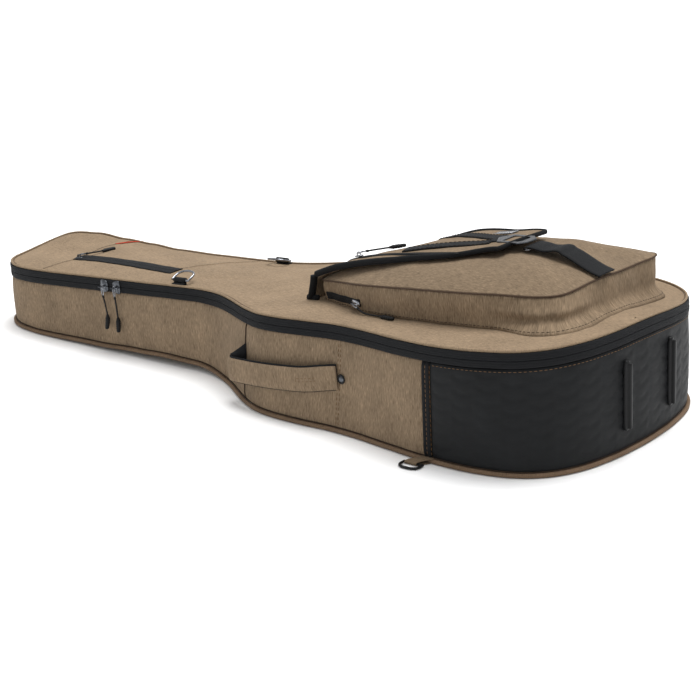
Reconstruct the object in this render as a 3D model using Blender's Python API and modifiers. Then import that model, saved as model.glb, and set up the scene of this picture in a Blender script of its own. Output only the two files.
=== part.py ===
"""Padded gig bag for an acoustic guitar, lying on its back.

+X runs from the head end to the tail end, -Y is the side with the carrying handle and +Z is up.
The origin is on the floor under the middle of the bag. All lengths are in metres.

The bag is a padded tray (back, walls, bumper) and a padded lid that meet in one tilted split plane,
where the main zip runs. The lid carries an accessory pocket, whose flap is hinged over its head end.
"""
import bpy
import bmesh
from math import atan, atan2, cos, exp, pi, radians, sin
from mathutils import Matrix, Vector

# ---------------------------------------------------------------- driving dimensions
HEAD_END = -0.5865
TAIL_END = 0.5835
NECK_HALF = 0.0995
HALF_OUTLINE = [  # (x, half width) from the head end to the tail end
    (HEAD_END, 0.000), (-0.5845, 0.025), (-0.5770, 0.048), (-0.562, 0.068), (-0.532, 0.087),
    (-0.490, 0.0965), (-0.440, NECK_HALF), (-0.360, NECK_HALF), (-0.240, NECK_HALF), (-0.170, NECK_HALF),
    (-0.125, 0.0990), (-0.092, 0.103), (-0.060, 0.113), (-0.030, 0.127), (0.000, 0.144),
    (0.030, 0.160), (0.063, 0.1735), (0.100, 0.179), (0.155, 0.179), (0.200, 0.179), (0.250, 0.186),
    (0.310, 0.2005), (0.372, 0.213), (0.430, 0.216), (0.480, 0.2095), (0.517, 0.195), (0.546, 0.169),
    (0.567, 0.128), (0.5785, 0.075), (0.5825, 0.030), (TAIL_END, 0.000)]

SPLIT_HEIGHT = 0.1237     # split plane over the origin
SPLIT_SLOPE = 0.0606      # rise of the split plane towards the tail
ZIP_HALF = 0.0098         # half the height of the black main zip band
GAP = 0.0003              # between pieces that touch

BACK_THICKNESS = 0.012
SKIN = 0.0014
FOAM = 0.010
PIPING_R = 0.0045
LID_PIPING_R = 0.003

SHOULDER_SEAM = 0.030     # vertical seam between the neck gusset and the waist gusset
BUMPER_SEAM = 0.376       # head edge of the seam tape in front of the bumper wrap
SEAM_TAPE_WIDTH = 0.013

HINGE_Y = 0.2195          # lid hinge, just outside the widest point of the far side

POCKET_HALF_OUTLINE = [
    (0.115, 0.000), (0.115, 0.066), (0.120, 0.084), (0.138, 0.0925), (0.173, 0.1050), (0.210, 0.1180),
    (0.262, 0.1265), (0.350, 0.1300), (0.455, 0.1310), (0.500, 0.1230), (0.518, 0.098), (0.520, 0.000)]
POCKET_CENTRE = Vector((0.335, 0.0))
POCKET_WALL_TOP = 0.0595  # above the split plane, towards the tail
POCKET_WALL_DROP = 0.020  # how much lower the wall is at the head end
POCKET_RISE = 0.0265      # dome of the pocket face over its piping

FLAP_HINGE_X = 0.1045
FLAP_HINGE_Z = 0.0492
FLAP_START = 0.1065
FLAP_TIP = 0.3880
FLAP_FOOT_HALF = 0.090
FLAP_TIP_HALF = 0.062
FLAP_RISE = 0.0430
FAR_SAG = 0.0230
RIM_SAG = 0.60                             # share of that fall that the pocket's rim follows
FACE_SAG = 0.45                            # share of that fall that the pocket face adds to its rim's
FLAP_SHEET = 0.0024
WEBBING = 0.0014

SLIDER_XS = {"head": -0.3115, "tail": -0.2855}
RAIL_Y = 0.056
RAIL_SIZE = (0.0072, 0.0120, 0.0950)
REAR_RING_X = 0.373

TILT = atan(SPLIT_SLOPE)
LID_STRETCH = 1.0 / cos(TILT)
LID_TOP = ZIP_HALF + GAP + 0.0026          # outer face of the lid panel
ON_LID = LID_TOP + GAP                     # where pieces on the lid start

COLOURS = {  # base colour, roughness, metallic
    "tan": ((0.230, 0.150, 0.088), 0.85, 0.0), "tan_dark": ((0.150, 0.096, 0.056), 0.85, 0.0),
    "black": ((0.012, 0.012, 0.013), 0.75, 0.0), "leather": ((0.018, 0.018, 0.019), 0.45, 0.0),
    "rubber": ((0.020, 0.021, 0.023), 0.55, 0.0), "grey": ((0.090, 0.092, 0.095), 0.90, 0.0),
    "foam": ((0.110, 0.110, 0.115), 0.95, 0.0), "red": ((0.420, 0.045, 0.025), 0.80, 0.0),
    "chrome": ((0.550, 0.560, 0.580), 0.22, 1.0), "steel": ((0.180, 0.190, 0.200), 0.35, 1.0)}


# ---------------------------------------------------------------- scene and small helpers
def new_collection(name):
    collection = bpy.data.collections.new(name)
    bpy.context.scene.collection.children.link(collection)
    return collection


for old in list(bpy.data.objects):
    bpy.data.objects.remove(old, do_unlink=True)
PARTS = new_collection("padded_gig_bag")
CUTTERS = new_collection("cutters")


def material(colour):
    found = bpy.data.materials.get(colour)
    if found:
        return found
    base, roughness, metallic = COLOURS[colour]
    made = bpy.data.materials.new(colour)
    made.use_nodes = True
    shader = made.node_tree.nodes["Principled BSDF"]
    shader.inputs["Base Color"].default_value = (*base, 1.0)
    shader.inputs["Roughness"].default_value = roughness
    shader.inputs["Metallic"].default_value = metallic
    made.diffuse_color = (*base, 1.0)
    return made


def frame(name, at, parent=None, tilt=0.0):
    """An empty on a joint axis, given in its parent's coordinates."""
    empty = bpy.data.objects.new(name, None)
    empty.empty_display_size = 0.02
    empty.location = at
    empty.rotation_euler = (0.0, tilt, 0.0)
    empty.parent = parent
    PARTS.objects.link(empty)
    return empty


SHELL = frame("shell_frame", (0.0, 0.0, 0.0))
LID = frame("lid_frame", (0.0, HINGE_Y, SPLIT_HEIGHT), SHELL, -TILT)
FLAP = frame("flap_frame", (FLAP_HINGE_X, -HINGE_Y, FLAP_HINGE_Z), LID)
# Lid and flap pieces are all drawn in lid coordinates, which start on the bag's centre plane and
# measure height from the split plane. These are the frames' places in those coordinates.
DRAWING_ORIGIN = {"lid_frame": Vector((0.0, HINGE_Y, 0.0)),
                  "flap_frame": Vector((FLAP_HINGE_X, 0.0, FLAP_HINGE_Z))}


def finish(obj, colour, parent, at=(0.0, 0.0, 0.0)):
    """Link a made object with its material, at a place in its parent's drawing coordinates."""
    obj.parent = parent
    obj.location = Vector(at) - DRAWING_ORIGIN.get(parent.name, Vector())
    obj.data.materials.append(material(colour))
    if obj.name not in PARTS.objects:
        PARTS.objects.link(obj)
    return obj


def mesh_object(name, bm):
    mesh = bpy.data.meshes.new(name)
    bm.to_mesh(mesh)
    bm.free()
    return bpy.data.objects.new(name, mesh)


def solidify(obj, thickness):
    shell = obj.modifiers.new("thickness", "SOLIDIFY")
    shell.thickness = thickness
    shell.offset = 0.0
    shell.use_even_offset = True


def bevel(obj, width, segments=1):
    rounding = obj.modifiers.new("rounding", "BEVEL")
    rounding.width = width
    rounding.segments = segments
    rounding.limit_method = "ANGLE"


def sheet(name, rows, thickness, closed=False):
    """An open surface through rows of points, thickened to both sides."""
    bm = bmesh.new()
    grid = [[bm.verts.new(point) for point in row] for row in rows]
    for low, high in zip(grid, grid[1:]):
        for i in range(len(low) if closed else len(low) - 1):
            j = (i + 1) % len(low)
            bm.faces.new((low[i], low[j], high[j], high[i]))
    obj = mesh_object(name, bm)
    solidify(obj, thickness)
    return obj


def plate(name, points, bottom, top):
    """A flat outline filled and extruded between two heights."""
    curve = bpy.data.curves.new(name, "CURVE")
    curve.dimensions = "2D"
    curve.fill_mode = "BOTH"
    curve.extrude = (top - bottom) / 2
    spline = curve.splines.new("POLY")
    spline.points.add(len(points) - 1)
    spline.use_cyclic_u = True
    for target, point in zip(spline.points, points):
        target.co = (point[0], point[1], 0.0, 1.0)
    obj = bpy.data.objects.new(name, curve)
    return obj, (0.0, 0.0, (bottom + top) / 2)


def tube(name, points, radius, closed=False, radii=None, resolution=1):
    """A round cord, wire or piping along points; radii scale it point by point."""
    curve = bpy.data.curves.new(name, "CURVE")
    curve.dimensions = "3D"
    curve.bevel_depth = radius
    curve.bevel_resolution = resolution
    curve.use_fill_caps = not closed
    spline = curve.splines.new("POLY")
    spline.points.add(len(points) - 1)
    spline.use_cyclic_u = closed
    for i, (target, point) in enumerate(zip(spline.points, points)):
        target.co = (*point, 1.0)
        target.radius = radii[i] if radii else 1.0
    return bpy.data.objects.new(name, curve)


def block(name, size, rounding, segments=1):
    bm = bmesh.new()
    bmesh.ops.create_cube(bm, size=1.0)
    bmesh.ops.scale(bm, vec=size, verts=bm.verts)
    obj = mesh_object(name, bm)
    bevel(obj, rounding, segments)
    return obj


# ---------------------------------------------------------------- outlines
def catmull_rom(points, closed, steps=12):
    """Smooth curve through 2D points."""
    count = len(points)
    spans = count if closed else count - 1

    def at(i):
        return points[i % count] if closed else points[max(0, min(count - 1, i))]

    curve = []
    for i in range(spans):
        a, b, c, d = (Vector(at(i + k)) for k in (-1, 0, 1, 2))
        for step in range(steps):
            t = step / steps
            curve.append(0.5 * (2 * b + (c - a) * t + (2 * a - 5 * b + 4 * c - d) * t ** 2
                                + (3 * b - a - 3 * c + d) * t ** 3))
    return curve if closed else curve + [Vector(points[-1])]


class Outline:
    """A closed curve symmetric about y = 0. Stations run from 0 at the head end, along the near
    side to 0.5 at the tail end, and back along the far side to 1.

    All pieces share its knots, which lie closer where the curve turns, so offset pieces stay
    parallel to each other."""

    def __init__(self, half, longest=0.045, sharpest=radians(13.0)):
        near = [(x, -y) for x, y in half]
        far = [(x, y) for x, y in reversed(half[1:-1])]
        self.curve = catmull_rom(near + far, closed=True)
        self.lengths = [0.0]
        for a, b in zip(self.curve, self.curve[1:] + self.curve[:1]):
            self.lengths.append(self.lengths[-1] + (b - a).length)
        self.knots = [0.0]
        middle = len(self.curve) // 2
        turned, since = 0.0, 0.0
        for i in range(1, middle):
            a, b, c = self.curve[i - 1], self.curve[i], self.curve[i + 1]
            turned += (b - a).angle(c - b)
            since += (b - a).length
            if turned > sharpest or since > longest:
                self.knots.append(self.lengths[i] / self.lengths[-1])
                turned, since = 0.0, 0.0
        self.knots += [0.5] + [1.0 - k for k in reversed(self.knots[1:])]

    def point(self, station, offset=0.0):
        target = (station % 1.0) * self.lengths[-1]
        i = next(k for k in range(len(self.curve)) if self.lengths[k + 1] >= target)
        a = self.curve[i]
        b = self.curve[(i + 1) % len(self.curve)]
        t = (target - self.lengths[i]) / (b - a).length
        normals = []
        for k in (i, i + 1):
            along = self.curve[(k + 1) % len(self.curve)] - self.curve[k - 1]
            normals.append(Vector((along.y, -along.x)).normalized())
        return a.lerp(b, t) + normals[0].lerp(normals[1], t) * offset

    def station(self, x, far=False):
        """The station of the point at x on the near or the far side."""
        half = range(len(self.curve) // 2)
        i = next(k for k in half if self.curve[k + 1].x >= x)
        a, b = self.curve[i], self.curve[i + 1]
        length = self.lengths[i] + (b - a).length * (x - a.x) / (b.x - a.x)
        found = length / self.lengths[-1]
        return 1.0 - found if far else found

    def run(self, start, end, offset=0.0):
        """Points from start to end, which may run past 1 through the head end."""
        margin = 0.0005
        inner = [k for k in self.knots + [k + 1.0 for k in self.knots] if start + margin < k < end - margin]
        return [self.point(k, offset) for k in [start] + inner + [end]]

    def loop(self, offset=0.0):
        return [self.point(k, offset) for k in self.knots]


BAG = Outline(HALF_OUTLINE)
POCKET = Outline(POCKET_HALF_OUTLINE)
POCKET_RING = POCKET.loop()


def split(x):
    return SPLIT_HEIGHT + SPLIT_SLOPE * x


def on_lid_plane(point):
    """Shell outline to lid coordinates, where lengths run along the tilted plane."""
    return Vector((point[0] * LID_STRETCH, point[1]))


def raised(points, height):
    if not callable(height):
        return [(p[0], p[1], height) for p in points]
    return [(p[0], p[1], height(p[0], p[1])) for p in points]


# ---------------------------------------------------------------- tray
def back():
    obj, at = plate("back_panel", BAG.loop(-PIPING_R - GAP), 0.0, BACK_THICKNESS)
    finish(obj, "tan_dark", SHELL, at)
    piping = tube("back_piping", raised(BAG.loop(), 0.0065), PIPING_R, closed=True)
    finish(piping, "tan", SHELL)
    lining, at = plate("floor_lining", BAG.loop(-FOAM - 0.0058),
                       BACK_THICKNESS + GAP, BACK_THICKNESS + GAP + 0.0015)
    finish(lining, "grey", SHELL, at)


def wall(name, colour, start, end, thickness, offset, top_drop):
    """A stretch of wall standing on the back panel, up to a drop below the split plane."""
    path = BAG.run(start, end, offset)
    low = raised(path, BACK_THICKNESS + GAP)
    high = raised(path, lambda x, y: split(x) - top_drop)
    finish(sheet(name, [low, high], thickness), colour, SHELL)


def walls():
    foam_offset = -SKIN - 0.0010 - FOAM / 2
    seam_gap = 0.0006
    for side, start, end in (("near", seam_gap, 0.5 - seam_gap), ("far", 0.5 + seam_gap, 1.0 - seam_gap)):
        wall("wall_foam_" + side, "foam", start, end, FOAM, foam_offset, GAP)

    skin_offset = -SKIN / 2 - 0.0001
    drop = ZIP_HALF + GAP
    slit = GAP / BAG.lengths[-1]
    shoulder_near, shoulder_far = BAG.station(SHOULDER_SEAM), BAG.station(SHOULDER_SEAM, far=True)
    tape_near, tape_far = BAG.station(BUMPER_SEAM), BAG.station(BUMPER_SEAM, far=True)
    tape_step = SEAM_TAPE_WIDTH / BAG.lengths[-1]
    wall("neck_gusset", "tan", shoulder_far, 1.0 + shoulder_near - slit, SKIN, skin_offset, drop)
    wall("waist_gusset_near", "tan", shoulder_near, tape_near - slit, SKIN, skin_offset, drop)
    wall("waist_gusset_far", "tan", tape_far + slit, shoulder_far - slit, SKIN, skin_offset, drop)
    wall("seam_tape_near", "black", tape_near, tape_near + tape_step - slit, 0.0020, -0.0005, drop)
    wall("seam_tape_far", "black", tape_far - tape_step + slit, tape_far, 0.0020, -0.0005, drop)
    wall("bumper_wrap", "leather", tape_near + tape_step, tape_far - tape_step, SKIN, skin_offset, drop)

    ring = BAG.loop(-0.0003)
    low = raised(ring, lambda x, y: split(x) - ZIP_HALF)
    high = raised(ring, lambda x, y: split(x) - GAP)
    finish(sheet("lower_zip_tape", [low, high], 0.0016, closed=True), "black", SHELL)


def bumper_rails():
    for side, y in (("near", -RAIL_Y), ("far", RAIL_Y)):
        rail = block("bumper_rail_" + side, RAIL_SIZE, 0.0024, 2)
        finish(rail, "rubber", SHELL, (TAIL_END + GAP + RAIL_SIZE[0] / 2, y, 0.0805))


# ---------------------------------------------------------------- inside
def cradle():
    """Foam neck rest with a groove, and the touch-fastening strap that closes over the neck."""
    half, height, groove_half, groove_floor, radius = 0.074, 0.058, 0.036, 0.022, 0.016
    profile = [(-half, 0.0), (half, 0.0), (half, height), (groove_half, height)]
    steps = 5
    for k in range(steps + 1):
        angle = pi / 2 * k / steps
        profile.append((groove_half - radius + radius * cos(angle), groove_floor + radius - radius * sin(angle)))
    for k in range(steps + 1):
        angle = pi / 2 * (1 - k / steps)
        profile.append((-groove_half + radius - radius * cos(angle), groove_floor + radius - radius * sin(angle)))
    profile.append((-groove_half, height))
    profile.append((-half, height))
    rest, at = plate("neck_cradle", profile, -0.030, 0.030)
    rest.rotation_euler = (pi / 2, 0.0, pi / 2)
    finish(rest, "grey", SHELL, (-0.300, 0.0, BACK_THICKNESS + 2 * GAP + 0.0015))
    strap = block("cradle_strap", (0.025, 0.130, 0.0016), 0.0005)
    top = BACK_THICKNESS + 0.0015 + 3 * GAP + height
    finish(strap, "black", SHELL, (-0.300, 0.0, top + 0.0008))


# ---------------------------------------------------------------- carrying handle
HANDLE_HEAD = Vector((0.0340, -0.1680, 0.0525))   # swing axis, on the two sewn ends
HANDLE_TAIL = Vector((0.2140, -0.1880, 0.0710))
HANDLE_WIDTH = 0.034


def handle():
    """A padded strap that bows away from the wall between its sewn ends."""
    body = frame("handle_frame", (HANDLE_HEAD + HANDLE_TAIL) / 2, SHELL)
    centre = Vector(body.location)
    route = [(0.0340, -0.1680), (0.0150, -0.1665), (0.0070, -0.1715), (0.0130, -0.1785), (0.0320, -0.1840),
             (0.0750, -0.1920), (0.1150, -0.1955), (0.1550, -0.1955), (0.1900, -0.1925), (0.2140, -0.1880)]
    path = catmull_rom(route, closed=False, steps=3)
    slope = (HANDLE_TAIL.z - HANDLE_HEAD.z) / (HANDLE_TAIL.x - HANDLE_HEAD.x)

    def rows(offset):
        low, high = [], []
        for i, point in enumerate(path):
            along = (path[min(i + 1, len(path) - 1)] - path[max(i - 1, 0)]).normalized()
            spot = point + Vector((along.y, -along.x)) * offset
            middle = HANDLE_HEAD.z + slope * (spot.x - HANDLE_HEAD.x)
            low.append(Vector((spot.x, spot.y, middle - HANDLE_WIDTH / 2)) - centre)
            high.append(Vector((spot.x, spot.y, middle + HANDLE_WIDTH / 2)) - centre)
        return [low, high]

    finish(sheet("handle_strap", rows(0.0), 0.0024), "tan", body)
    finish(sheet("handle_lining", rows(-0.0024), 0.0016), "black", body)

    stud = tube("handle_stud", [(0.0, 0.0, 0.0), (0.0, -0.0010, 0.0), (0.0, -0.0022, 0.0)], 0.0045,
                radii=[1.0, 1.0, 0.6])
    station = BAG.station(0.2225)
    spot = BAG.point(station, 2 * GAP)
    along = BAG.point(station + 0.005) - BAG.point(station - 0.005)
    stud.rotation_euler = (0.0, 0.0, atan2(along.y, along.x))
    finish(stud, "chrome", SHELL, (spot.x, spot.y, 0.0720))


# ---------------------------------------------------------------- D-rings
def d_ring_path(width, depth, corner=0.35, count=20):
    """A D: a straight bar along X through the origin, and a bow reaching depth along Y."""
    points = []
    for k in range(count + 1):
        angle = pi * k / count
        x = width / 2 * cos(angle)
        y = depth * abs(sin(angle)) ** corner if 0 < k < count else 0.0
        points.append((x, y, 0.0))
    return points


def rear_rings():
    """Strap rings at the lower bout, lying on the floor on short webbing tabs."""
    bar_y = 0.2330
    for side, sign in (("near", -1), ("far", 1)):
        tab = block("ring_tab_" + side, (0.028, 0.0185, 0.0014), 0.0004)
        finish(tab, "tan", SHELL, (REAR_RING_X + 0.006, sign * 0.2207, 0.0009))
        body = frame("rear_ring_frame_" + side, (REAR_RING_X, sign * bar_y, 0.0021), SHELL)
        ring = tube("rear_ring_" + side, [(x, sign * y, 0.0) for x, y, _ in d_ring_path(0.030, 0.017)],
                    0.0018, closed=True, resolution=2)
        finish(ring, "steel", body)


def front_rings():
    """Strap rings near the shoulders, leaning inwards on keepers sewn into the lid's edge."""
    bar_y, bar_z = 0.0880, ON_LID + 0.0060
    for side, sign, x, lean in (("near", -1, -0.1610, radians(32.0)), ("far", 1, -0.1110, radians(14.0))):
        keeper = block("ring_keeper_" + side, (0.022, 0.0090, 0.0034), 0.0008)
        finish(keeper, "black", LID, (x, sign * (bar_y + 0.0015), ON_LID + 0.0017))
        body = frame("front_ring_frame_" + side, (x, sign * bar_y - HINGE_Y, bar_z), LID)
        path = [(px, -sign * py * cos(lean), py * sin(lean)) for px, py, _ in d_ring_path(0.033, 0.022)]
        finish(tube("front_ring_" + side, path, 0.0018, closed=True, resolution=2), "chrome", body)


# ---------------------------------------------------------------- lid
def lid():
    shape = [on_lid_plane(p) for p in BAG.loop(-0.0035)]
    for name, colour, bottom, top in (("lid_lining", "grey", 0.0005, 0.0020), ("lid_foam", "foam", 0.0023, 0.0093)):
        obj, at = plate(name, shape, bottom, top)
        finish(obj, colour, LID, at)
    ring = [on_lid_plane(p) for p in BAG.loop(-0.0003)]
    tape = sheet("upper_zip_tape", [raised(ring, GAP), raised(ring, ZIP_HALF)], 0.0016, closed=True)
    finish(tape, "black", LID)
    obj, at = plate("lid_panel", ring, ZIP_HALF + GAP, LID_TOP)
    finish(obj, "tan", LID, at)
    edge = [on_lid_plane(p) for p in BAG.loop(-0.0020)]
    piping = tube("lid_piping", raised(edge, ON_LID + LID_PIPING_R), LID_PIPING_R, closed=True)
    finish(piping, "tan", LID)


def draped(path, width, height, lift):
    """Rows of points on both sides of a path, lying on a surface."""
    rows = ([], [])
    for i, point in enumerate(path):
        along = (path[min(i + 1, len(path) - 1)] - path[max(i - 1, 0)]).normalized()
        side = Vector((-along.y, along.x)) * width / 2
        for row, spot in zip(rows, (point - side, point + side)):
            row.append((spot.x, spot.y, height(spot.x, spot.y) + lift))
    return rows


HEAD_ZIP_ROUTE = [(-0.4440, -0.0285), (-0.3900, -0.0225), (-0.3400, -0.0215), (-0.2750, -0.0290),
                  (-0.2200, -0.0440)]


def head_pocket():
    """A document pocket in the neck of the lid: only its zip and a ribbon show."""
    path = catmull_rom(HEAD_ZIP_ROUTE, closed=False, steps=4)
    tape = sheet("head_pocket_zip", draped(path, 0.027, lambda x, y: ON_LID, 0.0010), 0.0020)
    finish(tape, "black", LID)
    ribbon = block("side_ribbon", (0.0060, 0.0440, 0.0008), 0.0002)
    ribbon.rotation_euler = (0.0, 0.0, radians(-25.0))
    finish(ribbon, "red", LID, (-0.4400, 0.0715, ON_LID + 0.0004))


# ---------------------------------------------------------------- accessory pocket
def far_sag(x, y):
    """How far the flap falls away towards the pocket's far head corner."""
    t = min(1.0, max(0.0, (y + 0.060) / 0.160))
    return FAR_SAG * exp(-((x - 0.160) / 0.070) ** 2) * t * t * (3.0 - 2.0 * t)


def pocket_wall_top(x, y):
    short = max(0.0, (0.42 - x) / 0.30)
    return POCKET_WALL_TOP - POCKET_WALL_DROP * short ** 2.2 - RIM_SAG * far_sag(x, y)


def pocket():
    low = raised(POCKET_RING, ON_LID)
    high = raised(POCKET_RING, pocket_wall_top)
    finish(sheet("pocket_wall", [low, high], 0.0020, closed=True), "tan", LID)

    bm = bmesh.new()
    rings = []
    for scale in (1.0, 0.93, 0.84, 0.70, 0.50, 0.25):
        ring = []
        for point in POCKET_RING:
            x, y = POCKET_CENTRE + (point - POCKET_CENTRE) * scale
            height = pocket_wall_top(x, y) + 0.0013 + POCKET_RISE * (1.0 - scale ** 3.5)
            height -= FACE_SAG * far_sag(x, y) * min(1.0, 5.0 * (1.0 - scale))
            ring.append(bm.verts.new((x, y, height)))
        rings.append(ring)
    for outer, inner in zip(rings, rings[1:]):
        for i in range(len(outer)):
            j = (i + 1) % len(outer)
            bm.faces.new((outer[i], outer[j], inner[j], inner[i]))
    middle = bm.verts.new((*POCKET_CENTRE, pocket_wall_top(*POCKET_CENTRE) + 0.0013 + POCKET_RISE))
    for i in range(len(rings[-1])):
        bm.faces.new((rings[-1][i], rings[-1][(i + 1) % len(rings[-1])], middle))
    face = mesh_object("pocket_face", bm)
    solidify(face, 0.0020)
    finish(face, "tan", LID)

    cord = raised(POCKET.loop(0.0035), pocket_wall_top)
    finish(tube("pocket_piping", cord, 0.0020, closed=True), "tan_dark", LID)
    start, end = POCKET.station(0.1330), POCKET.station(0.2060)
    path = POCKET.run(start, end, 0.0022)
    tape = sheet("pocket_zip_tape", [raised(path, 0.0165), raised(path, 0.0265)], 0.0014)
    finish(tape, "black", LID)


def flap_height(x, y):
    """Middle of the flap sheet: it rises from its hinge and sags a little towards its sides."""
    along = min(1.0, max(0.0, (FLAP_TIP - x) / (FLAP_TIP - FLAP_START)))
    sag = 0.0045 * (y / 0.09) ** 2 * min(1.0, max(0.0, (x - 0.15) / 0.10))
    return FLAP_HINGE_Z + 0.0008 + FLAP_RISE * (1.0 - along ** 2.6) - sag - far_sag(x, y)


def flap_half_width(x):
    t = (x - FLAP_START) / (FLAP_TIP - FLAP_START)
    return FLAP_FOOT_HALF + 0.004 * sin(pi * min(1.0, t * 1.6)) - (FLAP_FOOT_HALF - FLAP_TIP_HALF) * t ** 2.4


def flap():
    """The pocket's flap, its edge binding and the strips sewn on it."""
    stations = 15
    across = 8
    rows = []
    for k in range(stations):
        x = FLAP_START + (FLAP_TIP - FLAP_START) * k / (stations - 1)
        half = flap_half_width(x)
        ys = [half * (2 * j / across - 1) for j in range(across + 1)]
        rows.append([(x, y, flap_height(x, y)) for y in ys])
    finish(sheet("flap_panel", rows, FLAP_SHEET), "tan", FLAP)

    radius = 0.0022
    out = radius + GAP + 0.0002
    near = []
    for k in range(stations):
        x = FLAP_START + (FLAP_TIP - FLAP_START) * k / (stations - 1)
        near.append(Vector((x, -flap_half_width(x) - out, flap_height(x, -flap_half_width(x)))))
    near[-1] += Vector((out, 0.0, 0.0))
    front = [Vector((near[-1].x, near[-1].y * (1 - 2 * k / 8), 0.0)) for k in range(1, 8)]
    for point in front:
        point.z = flap_height(FLAP_TIP, point.y)
    far = [Vector((p.x, -p.y, flap_height(p.x, -p.y - out))) for p in reversed(near)]
    finish(tube("flap_binding", near + front + far, radius), "black", FLAP)

    lift = FLAP_SHEET / 2 + 0.0005 + WEBBING / 2
    for side, sign in (("near", -1), ("far", 1)):
        route = [(0.2350, sign * 0.0470), (0.2900, sign * 0.0310), (0.3480, sign * 0.0145)]
        path = catmull_rom(route, closed=False, steps=4)
        strap = sheet("flap_strap_" + side, draped(path, 0.025, flap_height, lift), WEBBING)
        finish(strap, "black", FLAP)
    zip_route = [(0.3400, -0.0650), (0.2900, -0.0700), (0.2300, -0.0670), (0.1720, -0.0570), (0.1340, -0.0440)]
    path = catmull_rom(list(reversed(zip_route)), closed=False, steps=4)
    tape = sheet("flap_zip_tape", draped(path, 0.0090, flap_height, lift - 0.0002), 0.0010)
    finish(tape, "black", FLAP)

    badge = block("badge_plate", (0.0340, 0.0220, 0.0012), 0.0003)
    badge.rotation_euler = (radians(-4.8), radians(-1.9), 0.0)
    spot = Vector((0.3340, 0.0520))
    finish(badge, "chrome", FLAP, (*spot, flap_height(*spot) + FLAP_SHEET / 2 + 0.0016))


def riser():
    """The flap's sewn foot: an upright panel between the lid and the flap's hinge line."""
    x = FLAP_HINGE_X - 0.0018
    ys = [0.088 * (2 * k / 8 - 1) for k in range(9)]
    low = [(x, y, ON_LID) for y in ys]
    high = [(x, y, FLAP_HINGE_Z - 0.0038 - far_sag(x, y)) for y in ys]
    finish(sheet("flap_riser", [low, high], 0.0024), "tan", LID)


def buckle():
    """Flat hook buckle: a six-sided plate with a window, the webbing strap and its hook."""
    outline = [(-0.030, 0.0), (-0.019, 0.0230), (0.019, 0.0230), (0.026, 0.0160),
               (0.026, -0.0160), (0.019, -0.0230), (-0.019, -0.0230)]
    window = [(-0.012, 0.0145), (0.013, 0.0145), (0.013, -0.0145), (-0.012, -0.0145)]
    curve, _ = plate("buckle_frame", outline, -0.0012, 0.0012)
    hole = curve.data.splines.new("POLY")
    hole.points.add(len(window) - 1)
    hole.use_cyclic_u = True
    for target, point in zip(hole.points, window):
        target.co = (*point, 0.0, 1.0)
    height = flap_height(0.36, 0.0) + FLAP_SHEET / 2 + WEBBING + 0.0024
    finish(curve, "steel", FLAP, (0.3830, 0.0, height))

    hook = tube("strap_hook", [(0.0, -0.017, 0.0), (0.0, -0.006, 0.0), (0.0, 0.006, 0.0), (0.0, 0.017, 0.0)],
                0.0022, resolution=2)
    finish(hook, "chrome", LID, (0.4130, 0.0, 0.0935))

    route = [(0.4170, 0.0925), (0.4300, 0.0915), (0.4450, 0.0910), (0.4580, 0.0915), (0.4680, 0.0900),
             (0.4780, 0.0860), (0.4900, 0.0790), (0.5050, 0.0717), (0.5160, 0.0676), (0.5250, 0.0648)]
    half = 0.019
    rows = [[(x, -half, z) for x, z in route], [(x, half, z) for x, z in route]]
    finish(sheet("tail_strap", rows, WEBBING), "black", LID)


# ---------------------------------------------------------------- zip sliders and pulls
def pull(name, body_name, parent, hinge, route, grip_from):
    """A short cord hinged at its slider end, inside a moulded grip from route point grip_from on."""
    body = frame(body_name, hinge, parent)
    path = [Vector(p) - Vector(hinge) for p in route]
    radii = [1.0 if i < grip_from else 2.5 for i in range(len(path))]
    radii[-1] = 1.8
    finish(tube(name, path, 0.0011, radii=radii, resolution=1), "black", body)


def main_sliders():
    face = NECK_HALF + 0.0005
    for side, x in SLIDER_XS.items():
        body = frame("main_slider_frame_" + side, (x, -face - 0.0036, split(x)), SHELL, -TILT)
        slider = block("main_slider_" + side, (0.0090, 0.0048, 0.0160), 0.0012)
        finish(slider, "steel", body)
        front = -0.0040
        grip_top, grip_end = (-0.0420, -0.0670) if side == "head" else (-0.0450, -0.0700)
        route = [(0.0, front, -0.0070), (0.0, front, -0.0200), (0.0, front, -0.0330), (0.0, front, grip_top),
                 (0.0, front - 0.0010, grip_top - 0.0020), (0.0, front - 0.0015, grip_end + 0.0020),
                 (0.0, front - 0.0015, grip_end)]
        pull("main_pull_" + side, "main_pull_frame_" + side, body, (0.0, front, -0.0070), route, 4)


def lying_pull(name, body_name, parent, start, heading, length, rise, hinge_back=0.0):
    """A pull that lies along a surface in the direction heading (radians from +X)."""
    step = Vector((cos(heading), sin(heading), 0.0))
    hinge = Vector(start) - step * hinge_back
    spots = [0.0, 0.30, 0.55, 0.60, 0.95, 1.0]
    route = [hinge + step * (length * s) + Vector((0.0, 0.0, rise * s)) for s in spots]
    pull(name, body_name, parent, hinge, route, 3)


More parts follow.
